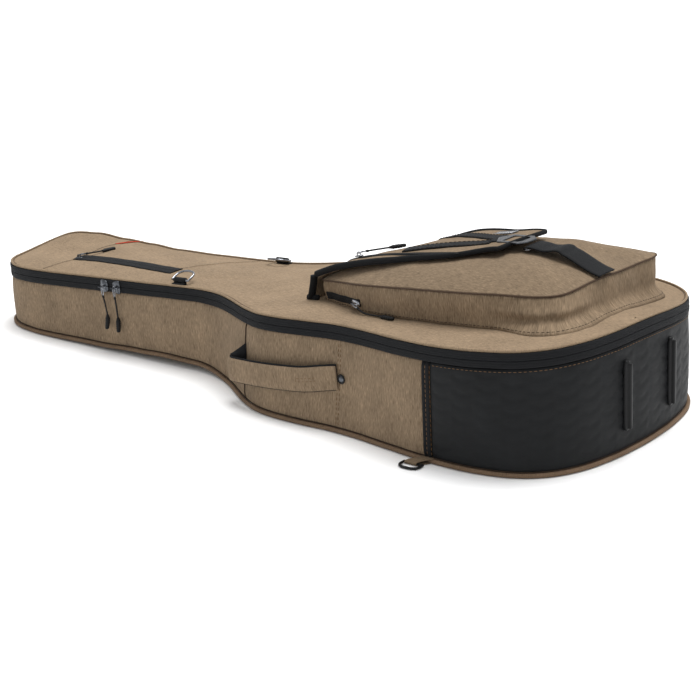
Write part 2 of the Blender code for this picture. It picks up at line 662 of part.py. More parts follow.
def pocket_sliders():
    start = POCKET.point(POCKET.station(0.2030), 0.0)
    back_point = POCKET.point(POCKET.station(0.1450), 0.0)
    heading = atan2(start.y - back_point.y, start.x - back_point.x)
    out = Vector((sin(heading), -cos(heading)))
    spot = start + out * 0.0062
    body = frame("pocket_slider_frame", (spot.x, spot.y - HINGE_Y, 0.0215), LID)
    body.rotation_euler = (0.0, 0.0, heading)
    finish(block("pocket_slider", (0.0130, 0.0042, 0.0085), 0.0010), "chrome", body)
    route = [(0.0040, -0.0042, 0.0), (0.0180, -0.0070, -0.0030), (0.0300, -0.0078, -0.0054),
             (0.0560, -0.0050, -0.0054), (0.0585, -0.0046, -0.0054), (0.0795, -0.0014, -0.0054), (0.0820, -0.0010, -0.0054)]
    pull("pocket_pull", "pocket_pull_frame", body, route[0], route, 4)

    x, y = 0.1580, -0.0530
    heading = radians(-19.0)
    ahead = (x + 0.050 * cos(heading), y + 0.050 * sin(heading))
    slope = (flap_height(*ahead) - flap_height(x, y)) / 0.050
    flap_body = frame("flap_slider_frame", (x - FLAP_HINGE_X, y, flap_height(x, y) + 0.0072 - FLAP_HINGE_Z), FLAP)
    flap_body.rotation_euler = (0.0, -atan(slope), heading)
    finish(block("flap_slider", (0.0120, 0.0085, 0.0042), 0.0010), "chrome", flap_body)
    lying_pull("flap_pull", "flap_pull_frame", flap_body, (0.0030, 0.0, 0.0040), radians(45.0), 0.066, 0.0)

    x, y = -0.4408, -0.0281
    head_body = frame("head_slider_frame", (x, y - HINGE_Y, ON_LID + 0.0056), LID)
    finish(block("head_slider", (0.0130, 0.0090, 0.0042), 0.0010), "steel", head_body)
    lying_pull("head_pull", "head_pull_frame", head_body, (-0.0010, 0.0030, 0.0041), radians(72.0), 0.062, 0.0)


back()
walls()
bumper_rails()
cradle()
handle()
rear_rings()
lid()
front_rings()
head_pocket()
pocket()
riser()
flap()
buckle()
main_sliders()
pocket_sliders()
bpy.context.view_layer.update()
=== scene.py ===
"""Looks for the padded gig bag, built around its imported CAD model.

+X runs from the head end to the tail end, -Y is the handle side, +Z is up, all in metres.
Lid and pocket pieces are drawn in lid coordinates, whose heights start on the tilted plane of the
main zip; on_lid() turns them into the row frame. Soft walls are grids whose points come from small
functions of place, so that neighbouring pieces share their edges.
"""

from bisect import bisect_right
from math import atan, cos, exp, pi, radians, sin, sqrt

import bmesh
import bpy
from mathutils import Matrix, Vector, kdtree, noise


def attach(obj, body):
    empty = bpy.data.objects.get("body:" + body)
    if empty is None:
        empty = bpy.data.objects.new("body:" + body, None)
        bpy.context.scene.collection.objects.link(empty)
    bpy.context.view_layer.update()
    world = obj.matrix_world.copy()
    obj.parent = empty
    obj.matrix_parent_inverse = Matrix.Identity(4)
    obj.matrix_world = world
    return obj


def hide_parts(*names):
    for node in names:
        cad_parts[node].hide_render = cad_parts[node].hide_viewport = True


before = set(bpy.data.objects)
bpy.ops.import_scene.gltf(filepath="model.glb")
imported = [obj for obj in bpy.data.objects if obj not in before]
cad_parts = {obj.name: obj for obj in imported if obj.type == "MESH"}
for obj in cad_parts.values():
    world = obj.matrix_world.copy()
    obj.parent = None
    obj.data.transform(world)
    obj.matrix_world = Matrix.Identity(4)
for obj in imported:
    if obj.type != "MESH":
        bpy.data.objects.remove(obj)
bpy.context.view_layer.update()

# ---------------------------------------------------------------- driving dimensions, as in the CAD
HEAD_END = -0.5865
TAIL_END = 0.5835
NECK_HALF = 0.0995
HALF_OUTLINE = [
    (HEAD_END, 0.000), (-0.5845, 0.025), (-0.5770, 0.048), (-0.562, 0.068), (-0.532, 0.087),
    (-0.490, 0.0965), (-0.440, NECK_HALF), (-0.360, NECK_HALF), (-0.240, NECK_HALF),
    (-0.170, NECK_HALF), (-0.125, 0.0990), (-0.092, 0.103), (-0.060, 0.113), (-0.030, 0.127),
    (0.000, 0.144), (0.030, 0.160), (0.063, 0.1735), (0.100, 0.179), (0.155, 0.179), (0.200, 0.179),
    (0.250, 0.186), (0.310, 0.2005), (0.372, 0.213), (0.430, 0.216), (0.480, 0.2095),
    (0.517, 0.195), (0.546, 0.169), (0.567, 0.128), (0.5785, 0.075), (0.5825, 0.030),
    (TAIL_END, 0.000)]
SPLIT_HEIGHT = 0.1237
SPLIT_SLOPE = 0.0606
ZIP_HALF = 0.0098
GAP = 0.0003
BACK_THICKNESS = 0.012
PIPING_R = 0.0030
SHOULDER_SEAM = 0.030
BUMPER_SEAM = 0.376
SIDE_SEAM = 0.2165
REAR_RING_X = 0.373
SEAM_TAPE_WIDTH = 0.013
POCKET_CENTRE = Vector((0.335, 0.0))
POCKET_WALL_TOP = 0.0595
POCKET_WALL_DROP = 0.0165
POCKET_RISE = 0.0265
FLAP_HINGE_X = 0.1045
FLAP_HINGE_Z = 0.0492
FLAP_START = 0.1065
FLAP_TIP = 0.3880
FLAP_TONGUE = 0.0050
FLAP_FOOT_HALF = 0.090
FLAP_TIP_HALF = 0.062
FLAP_RISE = 0.0430
FLAP_SHEET = 0.0024
FAR_SAG = 0.0230
RIM_SAG = 0.60
FACE_SAG = 0.45
WEBBING = 0.0014
TILT = atan(SPLIT_SLOPE)
LID_STRETCH = 1.0 / cos(TILT)
LID_FACE = 0.0127
LID = Matrix.Translation((0.0, 0.0, SPLIT_HEIGHT)) @ Matrix.Rotation(-TILT, 4, "Y")

# Soft shape that the CAD solids leave out
WALL_PUFF = 0.0016        # how far the padded sides swell between their seams
BASE_FLARE = 0.0160       # how far the sides spread at the floor beside the waist
TUCK = 0.0016             # how far a sewn edge pulls in


# ---------------------------------------------------------------- small mathematics
def smooth(t):
    t = max(0.0, min(1.0, t))
    return t * t * (3.0 - 2.0 * t)


def hump(x, centre, half):
    """1 at the centre, falling smoothly to 0 at half on both sides."""
    return smooth(1.0 - abs(x - centre) / half)


def between(table, x):
    """Height at x on a smooth line through (x, height) pairs."""
    i = max(1, min(len(table) - 1, bisect_right([row[0] for row in table], x)))
    (x0, y0), (x1, y1) = table[i - 1], table[i]
    return y0 + (y1 - y0) * smooth((x - x0) / (x1 - x0))


def ripple(x, y, z, size):
    """Smooth noise from -1 to 1, with features of about that size."""
    return noise.noise(Vector((x, y, z)) / size)


def split(x):
    return SPLIT_HEIGHT + SPLIT_SLOPE * x


def on_lid(point):
    return LID @ Vector(point)


def catmull_rom(points, closed=False, steps=12):
    """Smooth curve through points of any dimension."""
    points = [Vector(p) for p in points]
    count = len(points)
    spans = count if closed else count - 1

    def at(i):
        return points[i % count] if closed else points[max(0, min(count - 1, i))]

    curve = []
    for i in range(spans):
        a, b, c, d = (at(i + k) for k in (-1, 0, 1, 2))
        for step in range(steps):
            t = step / steps
            curve.append(0.5 * (2 * b + (c - a) * t + (2 * a - 5 * b + 4 * c - d) * t ** 2
                                + (3 * b - a - 3 * c + d) * t ** 3))
    return curve if closed else curve + [points[-1]]


def way_at(path, i):
    """The direction of an open path at its point i."""
    return (path[min(i + 1, len(path) - 1)] - path[max(i - 1, 0)]).normalized()


class Route:
    """A smooth curve measured by length, closed or open, in two or three dimensions."""

    def __init__(self, points, closed=False, steps=16):
        self.points = catmull_rom(points, closed, steps)
        self.closed = closed
        if closed:
            self.points.append(self.points[0].copy())
        self.lengths = [0.0]
        for a, b in zip(self.points, self.points[1:]):
            self.lengths.append(self.lengths[-1] + (b - a).length)
        self.length = self.lengths[-1]

    def _find(self, s):
        s = s % self.length if self.closed else max(0.0, min(self.length, s))
        i = max(0, min(len(self.points) - 2, bisect_right(self.lengths, s) - 1))
        span = self.lengths[i + 1] - self.lengths[i]
        return i, (s - self.lengths[i]) / span if span else 0.0

    def at(self, s, out=0.0):
        i, t = self._find(s)
        spot = self.points[i].lerp(self.points[i + 1], t)
        return spot + self.normal(s) * out if out else spot

    def along(self, s):
        reach = 0.004
        return (self.at(s + reach) - self.at(s - reach)).normalized()

    def normal(self, s):
        """To the outside of a closed outline that runs counterclockwise."""
        way = self.along(s)
        return Vector((way.y, -way.x))

    def place(self, x, far=False):
        """The length at which the near or the far side of an outline is at x."""
        for i in range(len(self.points) // 2):
            a, b = self.points[i], self.points[i + 1]
            if b.x >= x:
                s = self.lengths[i] + (self.lengths[i + 1] - self.lengths[i]) * (x - a.x) / (b.x - a.x)
                return self.length - s if far else s
        raise ValueError(f"no place at x {x}")

    def spots(self, start, end, step):
        count = max(2, round((end - start) / step))
        return [start + (end - start) * k / count for k in range(count + 1)]


def outline(half):
    near = [(x, -y) for x, y in half]
    far = [(x, y) for x, y in reversed(half[1:-1])]
    return Route(near + far, closed=True)


BAG = outline(HALF_OUTLINE)
EDGE_TREE = kdtree.KDTree(len(BAG.points))
for number, spot in enumerate(BAG.points):
    EDGE_TREE.insert((spot.x, spot.y, 0.0), number)
EDGE_TREE.balance()

FAR_RIM_LIFT = [(-0.60, 0.0115), (-0.56, 0.0185), (-0.52, 0.0135), (-0.46, 0.0055), (-0.40, 0.0010),
                (-0.34, -0.0042), (-0.25, -0.0068), (-0.16, -0.0078), (0.00, -0.0088), (0.10, -0.0098),
                (0.45, -0.0112), (0.54, -0.0160), (0.60, -0.0140)]
RIM_REACH = [(-0.60, 0.098), (-0.10, 0.098), (0.10, 0.165), (0.60, 0.170)]
NEAR_BASE_LIFT = [(-0.50, 0.0), (-0.34, 0.0030), (-0.25, 0.0070), (-0.19, 0.0092), (-0.13, 0.0080),
                  (-0.05, 0.0), (0.60, 0.0)]


def rim_lift(x, y):
    """How far the soft lid's far side stands above (or below) its plane."""
    reach = between(RIM_REACH, x)
    return between(FAR_RIM_LIFT, x) * smooth((y + 0.03) / (reach + 0.03))


def settle(point):
    """The soft bag doesn't lie quite level: its far rim rises at the head and sags from the waist
    on, and the near edge of the neck's base lifts off the floor a little."""
    share = min(1.0, point.z / (split(point.x) + LID_FACE))
    lift = rim_lift(point.x, point.y) * share
    lift += between(NEAR_BASE_LIFT, point.x) * smooth(-point.y / 0.08) * (1.0 - share)
    return point + Vector((0.0, 0.0, lift))


# ---------------------------------------------------------------- mesh building
def new_object(name, mesh):
    obj = bpy.data.objects.new(name, mesh)
    bpy.context.scene.collection.objects.link(obj)
    return obj


def mesh_object(name, points, faces, face_uvs=None):
    """A smooth-shaded object from its points and faces, with UVs for each face corner."""
    mesh = bpy.data.meshes.new(name)
    mesh.from_pydata([tuple(p) for p in points], [], faces)
    if face_uvs:
        layer = mesh.uv_layers.new(name="UVMap")
        flat = [value for uvs in face_uvs for uv in uvs for value in uv]
        layer.data.foreach_set("uv", flat)
    mesh.polygons.foreach_set("use_smooth", [True] * len(mesh.polygons))
    mesh.update()
    return new_object(name, mesh)


def grid(name, rows, closed=False, flat_uv=None):
    """A surface through rows of points. Its UVs are metres: along the rows, and from row to row.

    flat_uv makes them from each point's own place instead."""
    wide = len(rows[0])
    points = [p for row in rows for p in row]
    middle = rows[len(rows) // 2]
    us = [0.0]
    for i in range(1, wide + (1 if closed else 0)):
        us.append(us[-1] + (middle[i % wide] - middle[i - 1]).length)
    vs = [0.0]
    for low, high in zip(rows, rows[1:]):
        mean = sum((high[i] - low[i]).length for i in range(0, wide, max(1, wide // 8)))
        vs.append(vs[-1] + mean / len(range(0, wide, max(1, wide // 8))))
    faces, face_uvs = [], []
    for r in range(len(rows) - 1):
        for i in range(wide if closed else wide - 1):
            j = (i + 1) % wide
            corners = (r * wide + i, r * wide + j, (r + 1) * wide + j, (r + 1) * wide + i)
            faces.append(corners)
            if flat_uv:
                face_uvs.append([flat_uv(points[c]) for c in corners])
            else:
                u, after, v, above = us[i], us[i + 1], vs[r], vs[r + 1]
                face_uvs.append([(u, v), (after, v), (after, above), (u, above)])
    return mesh_object(name, points, faces, face_uvs)


def frames_along(path, closed, up):
    """A direction, side and up vector at each point of a path, turning as little as it can."""
    count = len(path)
    ways = []
    for i in range(count):
        a = path[(i - 1) % count] if closed else path[max(0, i - 1)]
        b = path[(i + 1) % count] if closed else path[min(count - 1, i + 1)]
        ways.append((b - a).normalized())
    side = ways[0].cross(Vector(up)).normalized()
    if side.length < 0.5:
        side = ways[0].orthogonal().normalized()
    made = []
    for way in ways:
        side = (side - way * side.dot(way)).normalized()
        made.append((way, side, side.cross(way)))
    return made


def sweep(name, path, section, closed=False, up=(0, 0, 1), scale=None, fixed=False):
    """A section of (side, up) points carried along a path. scale(share) thins it; fixed keeps its
    side level, for straps and webbing."""
    path = [Vector(p) for p in path]
    turns = frames_along(path, closed, up)
    rows = []
    for i, (spot, (way, side, rise)) in enumerate(zip(path, turns)):
        if fixed:
            side = way.cross(Vector(up)).normalized()
            rise = side.cross(way)
        size = scale(i / max(1, len(path) - 1)) if scale else 1.0
        rows.append([spot + side * (a * size) + rise * (b * size) for a, b in section])
    wide = len(section)
    points = [p for row in rows for p in row]
    lengths = [0.0]
    for a, b in zip(path, path[1:] + path[:1]):
        lengths.append(lengths[-1] + (b - a).length)
    girth = [0.0]
    for a, b in zip(section, section[1:] + section[:1]):
        girth.append(girth[-1] + (Vector(b) - Vector(a)).length)
    faces, uvs = [], []
    for r in range(len(rows) if closed else len(rows) - 1):
        n = (r + 1) % len(rows)
        for i in range(wide):
            j = (i + 1) % wide
            faces.append((r * wide + i, r * wide + j, n * wide + j, n * wide + i))
            uvs.append([(lengths[r], girth[i]), (lengths[r], girth[i + 1]),
                        (lengths[r + 1], girth[i + 1]), (lengths[r + 1], girth[i])])
    if not closed:
        for ring in (range(wide - 1, -1, -1), range((len(rows) - 1) * wide, len(rows) * wide)):
            faces.append(tuple(ring))
            uvs.append([(0.0, 0.0)] * wide)
    return mesh_object(name, points, faces, uvs)


def circle(radius, sides=10, squeeze=1.0):
    """A round section, or an oval one when squeezed."""
    return [(radius * cos(2 * pi * k / sides), radius * squeeze * sin(2 * pi * k / sides))
            for k in range(sides)]


def strap_section(width, thickness):
    """A flat strap's section with rounded edges."""
    w, t = width / 2, thickness / 2
    return [(-w, -t * 0.4), (-w + t, -t), (-w * 0.4, -t), (w * 0.4, -t), (w - t, -t), (w, -t * 0.4),
            (w, t * 0.4), (w - t, t), (w * 0.4, t), (-w * 0.4, t), (-w + t, t), (-w, t * 0.4)]


def round_ends(share, reach=0.04):
    """Scale that closes both ends of a sweep to a blunt point."""
    near = min(share, 1.0 - share) / reach
    return 0.25 + 0.75 * sqrt(max(0.0, 1.0 - (1.0 - min(1.0, near)) ** 2))


def tube(name, path, radius, closed=False, sides=10, scale=None):
    return sweep(name, path, circle(radius, sides), closed, scale=scale)


def joined(name, objects):
    """Several made objects as one."""
    with bpy.context.temp_override(active_object=objects[0], selected_editable_objects=objects):
        bpy.ops.object.join()
    objects[0].name = name
    return objects[0]


STITCH, STITCH_GAP, THREAD_R = 0.0042, 0.0022, 0.00042
THREAD_SIDES = 6


def stitches(name, path):
    """A row of thread dashes that dive into the cloth at both ends."""
    route = Route(path, steps=4)
    points, faces = [], []
    count = max(1, int(route.length / (STITCH + STITCH_GAP)))
    for k in range(count):
        start = (k + 0.5) * route.length / count - STITCH / 2
        spots = [route.at(start + STITCH * share) for share in (0.0, 0.2, 0.5, 0.8, 1.0)]
        for i, (way, side, rise) in enumerate(frames_along(spots, False, (0.1, 0.2, 1.0))):
            thick = THREAD_R * (0.35, 0.95, 1.0, 0.95, 0.35)[i]
            base = len(points)
            points += [spots[i] + side * a + rise * b for a, b in circle(thick, THREAD_SIDES)]
            for j in range(THREAD_SIDES if i else 0):
                after = (j + 1) % THREAD_SIDES
                faces.append((base - THREAD_SIDES + j, base - THREAD_SIDES + after, base + after, base + j))
    return mesh_object(name, points, faces)


def modifier(obj, kind, **settings):
    made = obj.modifiers.new(kind.lower(), kind)
    for key, value in settings.items():
        setattr(made, key, value)
    return obj


def thicken(obj, thickness, offset=0.0):
    return modifier(obj, "SOLIDIFY", thickness=thickness, offset=offset)


def rounded(obj, width, segments=3):
    return modifier(obj, "BEVEL", width=width, segments=segments, limit_method="ANGLE")


def extruded(name, shape, bottom, top, holes=()):
    """A flat outline with holes, between two heights."""
    bm = bmesh.new()
    edges = []
    for ring in [shape, *holes]:
        verts = [bm.verts.new((x, y, bottom)) for x, y in ring]
        edges += [bm.edges.new((a, b)) for a, b in zip(verts, verts[1:] + verts[:1])]
    made = bmesh.ops.triangle_fill(bm, use_beauty=True, use_dissolve=True, edges=edges)
    base = [g for g in made["geom"] if isinstance(g, bmesh.types.BMFace)]
    grown = bmesh.ops.extrude_face_region(bm, geom=base)
    up = [g for g in grown["geom"] if isinstance(g, bmesh.types.BMVert)]
    bmesh.ops.translate(bm, vec=(0.0, 0.0, top - bottom), verts=up)
    bmesh.ops.recalc_face_normals(bm, faces=bm.faces)
    mesh = bpy.data.meshes.new(name)
    bm.to_mesh(mesh)
    bm.free()
    return new_object(name, mesh)


def superellipse(width, length, power=4.0, count=28):
    """A rounded rectangle, or an ellipse at power 2, its length along X."""
    shape = []
    for k in range(count):
        angle = 2 * pi * k / count
        c, s = cos(angle), sin(angle)
        shape.append((length / 2 * abs(c) ** (2 / power) * (1 if c >= 0 else -1),
                      width / 2 * abs(s) ** (2 / power) * (1 if s >= 0 else -1)))
    return shape


def lofted(name, shape, steps):
    """Copies of one outline at (inset, height) steps, closed at both ends."""
    rows = []
    reach_x = max(x for x, _ in shape)
    reach_y = max(y for _, y in shape)
    for inset, height in steps:
        sx, sy = 1 - inset / reach_x, 1 - inset / reach_y
        rows.append([Vector((x * sx, y * sy, height)) for x, y in shape])
    wide = len(shape)
    points = [p for row in rows for p in row]
    faces = [(r * wide + i, r * wide + (i + 1) % wide, (r + 1) * wide + (i + 1) % wide, (r + 1) * wide + i)
             for r in range(len(rows) - 1) for i in range(wide)]
    faces.append(tuple(range(wide - 1, -1, -1)))
    faces.append(tuple(range((len(rows) - 1) * wide, len(rows) * wide)))
    return mesh_object(name, points, faces)


def moved(obj, matrix):
    obj.data.transform(matrix)
    return obj


def pose_of(origin, x_axis, z_axis):
    """A matrix whose X and Z run along those directions."""
    x = Vector(x_axis).normalized()
    y = Vector(z_axis).cross(x).normalized()
    z = x.cross(y)
    made = Matrix((x, y, z)).transposed().to_4x4()
    made.translation = Vector(origin)
    return made


def piece(obj, skin, body, nodes=()):
    """Give a made object its material and body, and hide the CAD nodes that it stands for."""
    obj.data.materials.clear()
    obj.data.materials.append(skin)
    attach(obj, body)
    if nodes:
        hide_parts(*nodes)
    return obj


# ---------------------------------------------------------------- materials
class Shade:
    """Builds one procedural material from a few texture steps."""

    def __init__(self, name, roughness, metallic=0.0, specular=0.5):
        self.material = bpy.data.materials.new(name)
        self.material.use_nodes = True
        self.tree = self.material.node_tree
        self.shader = self.tree.nodes["Principled BSDF"]
        self.shader.inputs["Roughness"].default_value = roughness
        self.shader.inputs["Metallic"].default_value = metallic
        self.shader.inputs["Specular IOR Level"].default_value = specular

    def new(self, kind, **inputs):
        node = self.tree.nodes.new(kind)
        for key, value in inputs.items():
            node.inputs[key.replace("_", " ")].default_value = value
        return node

    def link(self, source, target):
        self.tree.links.new(source, target)
        return target

    def coordinates(self, kind, stretch):
        source = self.new("ShaderNodeTexCoord").outputs[kind]
        mapping = self.new("ShaderNodeMapping", Scale=stretch)
        self.link(source, mapping.inputs["Vector"])
        return mapping.outputs["Vector"]

    def noise(self, kind, stretch, detail=2.0):
        node = self.new("ShaderNodeTexNoise", Scale=1.0, Detail=detail, Roughness=0.5)
        self.link(self.coordinates(kind, stretch), node.inputs["Vector"])
        return node.outputs["Fac"]

    def wave(self, kind, stretch, direction):
        node = self.new("ShaderNodeTexWave", Scale=1.0, Distortion=0.0)
        node.bands_direction = direction
        node.wave_profile = "SIN"
        self.link(self.coordinates(kind, stretch), node.inputs["Vector"])
        return node.outputs["Fac"]

    def cells(self, kind, stretch):
        node = self.new("ShaderNodeTexVoronoi", Scale=1.0)
        node.feature = "DISTANCE_TO_EDGE"
        self.link(self.coordinates(kind, stretch), node.inputs["Vector"])
        return node.outputs["Distance"]

    def math(self, operation, a, b):
        node = self.new("ShaderNodeMath")
        node.operation = operation
        for socket, value in zip(node.inputs, (a, b)):
            if isinstance(value, (int, float)):
                socket.default_value = value
            else:
                self.link(value, socket)
        return node.outputs[0]

    def blend(self, parts):
        """The weighted sum of several values."""
        total = None
        for value, weight in parts:
            term = self.math("MULTIPLY", value, weight)
            total = term if total is None else self.math("ADD", total, term)
        return total

    def ramp(self, value, stops):
        node = self.new("ShaderNodeValToRGB")
        self.link(value, node.inputs["Fac"])
        elements = node.color_ramp.elements
        while len(elements) < len(stops):
            elements.new(0.5)
        for element, (place, colour) in zip(elements, stops):
            element.position = place
            element.color = (*colour, 1.0)
        return node.outputs["Color"]

    def colour(self, value, stops):
        self.link(self.ramp(value, stops), self.shader.inputs["Base Color"])
        return self

    def rough(self, value, low, high):
        spread = self.new("ShaderNodeMapRange", To_Min=low, To_Max=high)
        self.link(value, spread.inputs["Value"])
        self.link(spread.outputs["Result"], self.shader.inputs["Roughness"])
        return self

    def bump(self, value, distance, strength=1.0):
        node = self.new("ShaderNodeBump", Strength=strength, Distance=distance)
        self.link(value, node.inputs["Height"])
        before = self.shader.inputs["Normal"]
        if before.is_linked:
            self.link(before.links[0].from_socket, node.inputs["Normal"])
        self.link(node.outputs["Normal"], before)
        return self

    def sheen(self, weight, tint):
        self.shader.inputs["Sheen Weight"].default_value = weight
        self.shader.inputs["Sheen Roughness"].default_value = 0.45
        self.shader.inputs["Sheen Tint"].default_value = (*tint, 1.0)
        return self


def scaled(colour, factor):
    return tuple(c * factor for c in colour)


def canvas(name, tone, contrast=1.0, streak=(620.0, 62.0, 1.0)):
    """Heathered two-tone polyester canvas: threads run along V, in metres of cloth."""
    shade = Shade(name, 0.9, specular=0.15)
    thread = shade.noise("UV", (streak[0] * 2.2, streak[1] * 2.6, 1.0), 1.0)
    slub = shade.noise("UV", streak, 2.0)
    cloud = shade.noise("UV", (22.0, 12.0, 1.0), 2.0)
    mix = shade.blend([(thread, 0.42), (slub, 0.38), (cloud, 0.20)])
    dark, light = 1.0 - 0.40 * contrast, 1.0 + 0.42 * contrast
    shade.colour(mix, [(0.36, scaled(tone, dark)), (0.47, scaled(tone, 1.0 - 0.08 * contrast)),
                       (0.54, scaled(tone, 1.0 + 0.06 * contrast)), (0.65, scaled(tone, light))])
    warp = shade.wave("UV", (520.0, 1.0, 1.0), "X")
    weft = shade.wave("UV", (1.0, 520.0, 1.0), "Y")
    weave = shade.blend([(warp, 0.5), (weft, 0.5), (thread, 1.1), (slub, 0.8)])
    shade.bump(weave, 0.00022, 0.5)
    shade.rough(thread, 0.85, 0.98)
    shade.sheen(0.06, (0.95, 0.86, 0.74))
    return shade.material


def webbing(name, tone, pitch=700.0):
    """Ribbed nylon webbing and zip tape: ribs run across, rows of yarn along."""
    shade = Shade(name, 0.8, specular=0.16)
    ribs = shade.wave("UV", (pitch, 1.0, 1.0), "X")
    rows = shade.wave("UV", (1.0, pitch * 1.3, 1.0), "Y")
    fuzz = shade.noise("UV", (240.0, 240.0, 1.0), 3.0)
    mix = shade.blend([(ribs, 0.25), (rows, 0.15), (fuzz, 0.6)])
    shade.colour(mix, [(0.2, scaled(tone, 0.6)), (0.5, tone), (0.8, scaled(tone, 1.6))])
    shade.bump(shade.blend([(ribs, 0.5), (rows, 0.5), (fuzz, 0.5)]), 0.0002, 0.5)
    shade.rough(fuzz, 0.65, 0.90)
    shade.sheen(0.02, (0.8, 0.85, 0.9))
    return shade.material


def leatherette():
    """Grained black vinyl with a soft satin face."""
    shade = Shade("leatherette", 0.5, specular=0.15)
    grain = shade.cells("UV", (620.0, 620.0, 620.0))
    crease = shade.noise("UV", (70.0, 26.0, 1.0), 3.0)
    broad = shade.noise("UV", (14.0, 11.0, 1.0), 1.0)
    mix = shade.blend([(crease, 0.5), (broad, 0.5)])
    shade.colour(mix, [(0.3, (0.0045, 0.0050, 0.0056)), (0.6, (0.0082, 0.0090, 0.0100)),
                       (0.8, (0.0128, 0.0140, 0.0154))])
    shade.bump(shade.math("MINIMUM", grain, 0.18), 0.0006, 0.45)
    shade.bump(crease, 0.0006, 0.25)
    shade.rough(crease, 0.46, 0.66)
    return shade.material


def moulded(name, tone, roughness=0.5, specular=0.3):
    """Moulded rubber or plastic with a fine spark-eroded grain."""
    shade = Shade(name, roughness, specular=specular)
    grain = shade.noise("Object", (900.0, 900.0, 900.0), 2.0)
    cloud = shade.noise("Object", (60.0, 60.0, 60.0), 2.0)
    shade.colour(cloud, [(0.3, scaled(tone, 0.8)), (0.7, scaled(tone, 1.25))])
    shade.bump(grain, 0.0002, 0.25)
    shade.rough(cloud, roughness - 0.07, roughness + 0.10)
    return shade.material


def metal(name, tone, roughness):
    """Plated metal with faint wear and tumbling marks."""
    shade = Shade(name, roughness, 1.0)
    marks = shade.noise("Object", (300.0, 300.0, 60.0), 3.0)
    cloud = shade.noise("Object", (90.0, 90.0, 90.0), 2.0)
    shade.colour(cloud, [(0.35, scaled(tone, 0.75)), (0.65, tone)])
    shade.bump(marks, 0.0001, 0.18)
    shade.rough(marks, roughness * 0.7, roughness * 1.6)
    return shade.material


def plush(name, tone):
    """Brushed lining with a short pile."""
    shade = Shade(name, 0.95, specular=0.1)
    pile = shade.noise("Object", (1100.0, 1100.0, 1100.0), 2.0)
    brushed = shade.noise("Object", (30.0, 90.0, 90.0), 2.0)
    mix = shade.blend([(pile, 0.5), (brushed, 0.5)])
    shade.colour(mix, [(0.3, scaled(tone, 0.65)), (0.7, scaled(tone, 1.35))])
    shade.bump(pile, 0.0005, 0.6)
    shade.sheen(0.3, (0.75, 0.78, 0.85))
    return shade.material


TAN = (0.221, 0.160, 0.103)
CANVAS = canvas("canvas_tan", scaled(TAN, 0.97), 1.25)
CANVAS_LID = canvas("canvas_tan_top", scaled(TAN, 1.08), 0.95, (520.0, 90.0, 1.0))
# A darker copy of the tan canvas for the pocket's face and the flap: painted shade for their tilt and for
# the shadow under the flap's binding.
CANVAS_POCKET_PAINTED_SHADE = canvas("canvas_tan_pocket_painted_shade", scaled(TAN, 0.84), 1.05, (520.0, 90.0, 1.0))
TRIM = canvas("canvas_trim_tan", scaled(TAN, 0.82), 0.8)
TRIM_BROWN = canvas("canvas_trim_brown", (0.165, 0.110, 0.070), 0.8)
# Dark brown canvas for the pocket's piping, and for the line painted as shade just inside the lid's piping.
DARK_TRIM_AND_SHADE = canvas("canvas_dark_trim_and_shade", (0.066, 0.042, 0.028), 0.6)
TAPE = webbing("zip_tape_black", (0.0072, 0.0077, 0.0088), 900.0)
WEB = webbing("webbing_black", (0.0066, 0.0071, 0.0080), 480.0)
LEATHER = leatherette()
RUBBER = moulded("rail_rubber", (0.0062, 0.0066, 0.0072), 0.42, 0.22)
GRIP = moulded("pull_cord", (0.0074, 0.0078, 0.0085), 0.55, 0.20)
LINING = plush("lining_grey", (0.052, 0.054, 0.059))
RIBBON = webbing("ribbon_red", (0.380, 0.045, 0.020), 900.0)
NICKEL = metal("bright_metal", (0.30, 0.31, 0.335), 0.20)
GUNMETAL = metal("dark_metal", (0.105, 0.112, 0.124), 0.26)
THREAD_TAN = webbing("thread_tan", (0.195, 0.112, 0.056), 900.0)
# Dark brown for the real stitches, and for the thin lines painted as shade in the creases of seams.
DARK_THREAD_AND_SHADE = webbing("thread_and_shade_brown", (0.045, 0.029, 0.019), 900.0)


# ---------------------------------------------------------------- tray walls
WALL_LOW = 0.0058


def flare(x, share):
    return BASE_FLARE * (1.0 - share) ** 1.3 * hump(x, 0.15, 0.25)


def wall_point(s, share, out=0.0, edges=()):
    """A place on the bag's side at length s, share of the way up from the piping to the zip band."""
    spot = BAG.at(s)
    top = split(spot.x) - ZIP_HALF - GAP
    height = top - WALL_LOW
    z = WALL_LOW + height * share
    puff = WALL_PUFF * sin(pi * share) ** 0.7
    tuck = TUCK * (exp(-share * height / 0.0025) + exp(-(1 - share) * height / 0.0025))
    for edge in edges:
        tuck += TUCK * exp(-abs(s - edge) / 0.0016)
    side = -1.0 if spot.y < 0 else 1.0
    soft = 0.0013 * ripple(s * 1.0, z * 0.45, side, 0.055) + 0.0007 * ripple(s, z * 0.5, 7.0, 0.021)
    soft *= sin(pi * min(1.0, max(0.0, share)))
    spot = BAG.at(s, -0.0006 + out + flare(spot.x, share) + puff - tuck + soft)
    return settle(Vector((spot.x, spot.y, z)))


def run_of(start, end, step=0.006):
    """Lengths from start to end, closer together near both sewn ends."""
    fine = [0.0, 0.0006, 0.0014, 0.0026, 0.0042]
    margin = 0.006
    inner = BAG.spots(start + margin, end - margin, step)
    return [start + f for f in fine] + inner + [end - f for f in reversed(fine)]


def wall_piece(name, start, end):
    """A stretch of tan wall, its rows closer together near both sewn edges."""
    spots = run_of(start, end)
    shares = [0.5 - 0.5 * cos(pi * k / 16) for k in range(17)]
    rows = [[wall_point(s, share, 0.0, (start, end)) for s in spots] for share in shares]
    return thicken(grid(name, rows), 0.0012, -1.0)


LEAF_WIDTH, LEAF_HEIGHT, LEAF_DEPTH = 0.034, 0.020, 0.0012


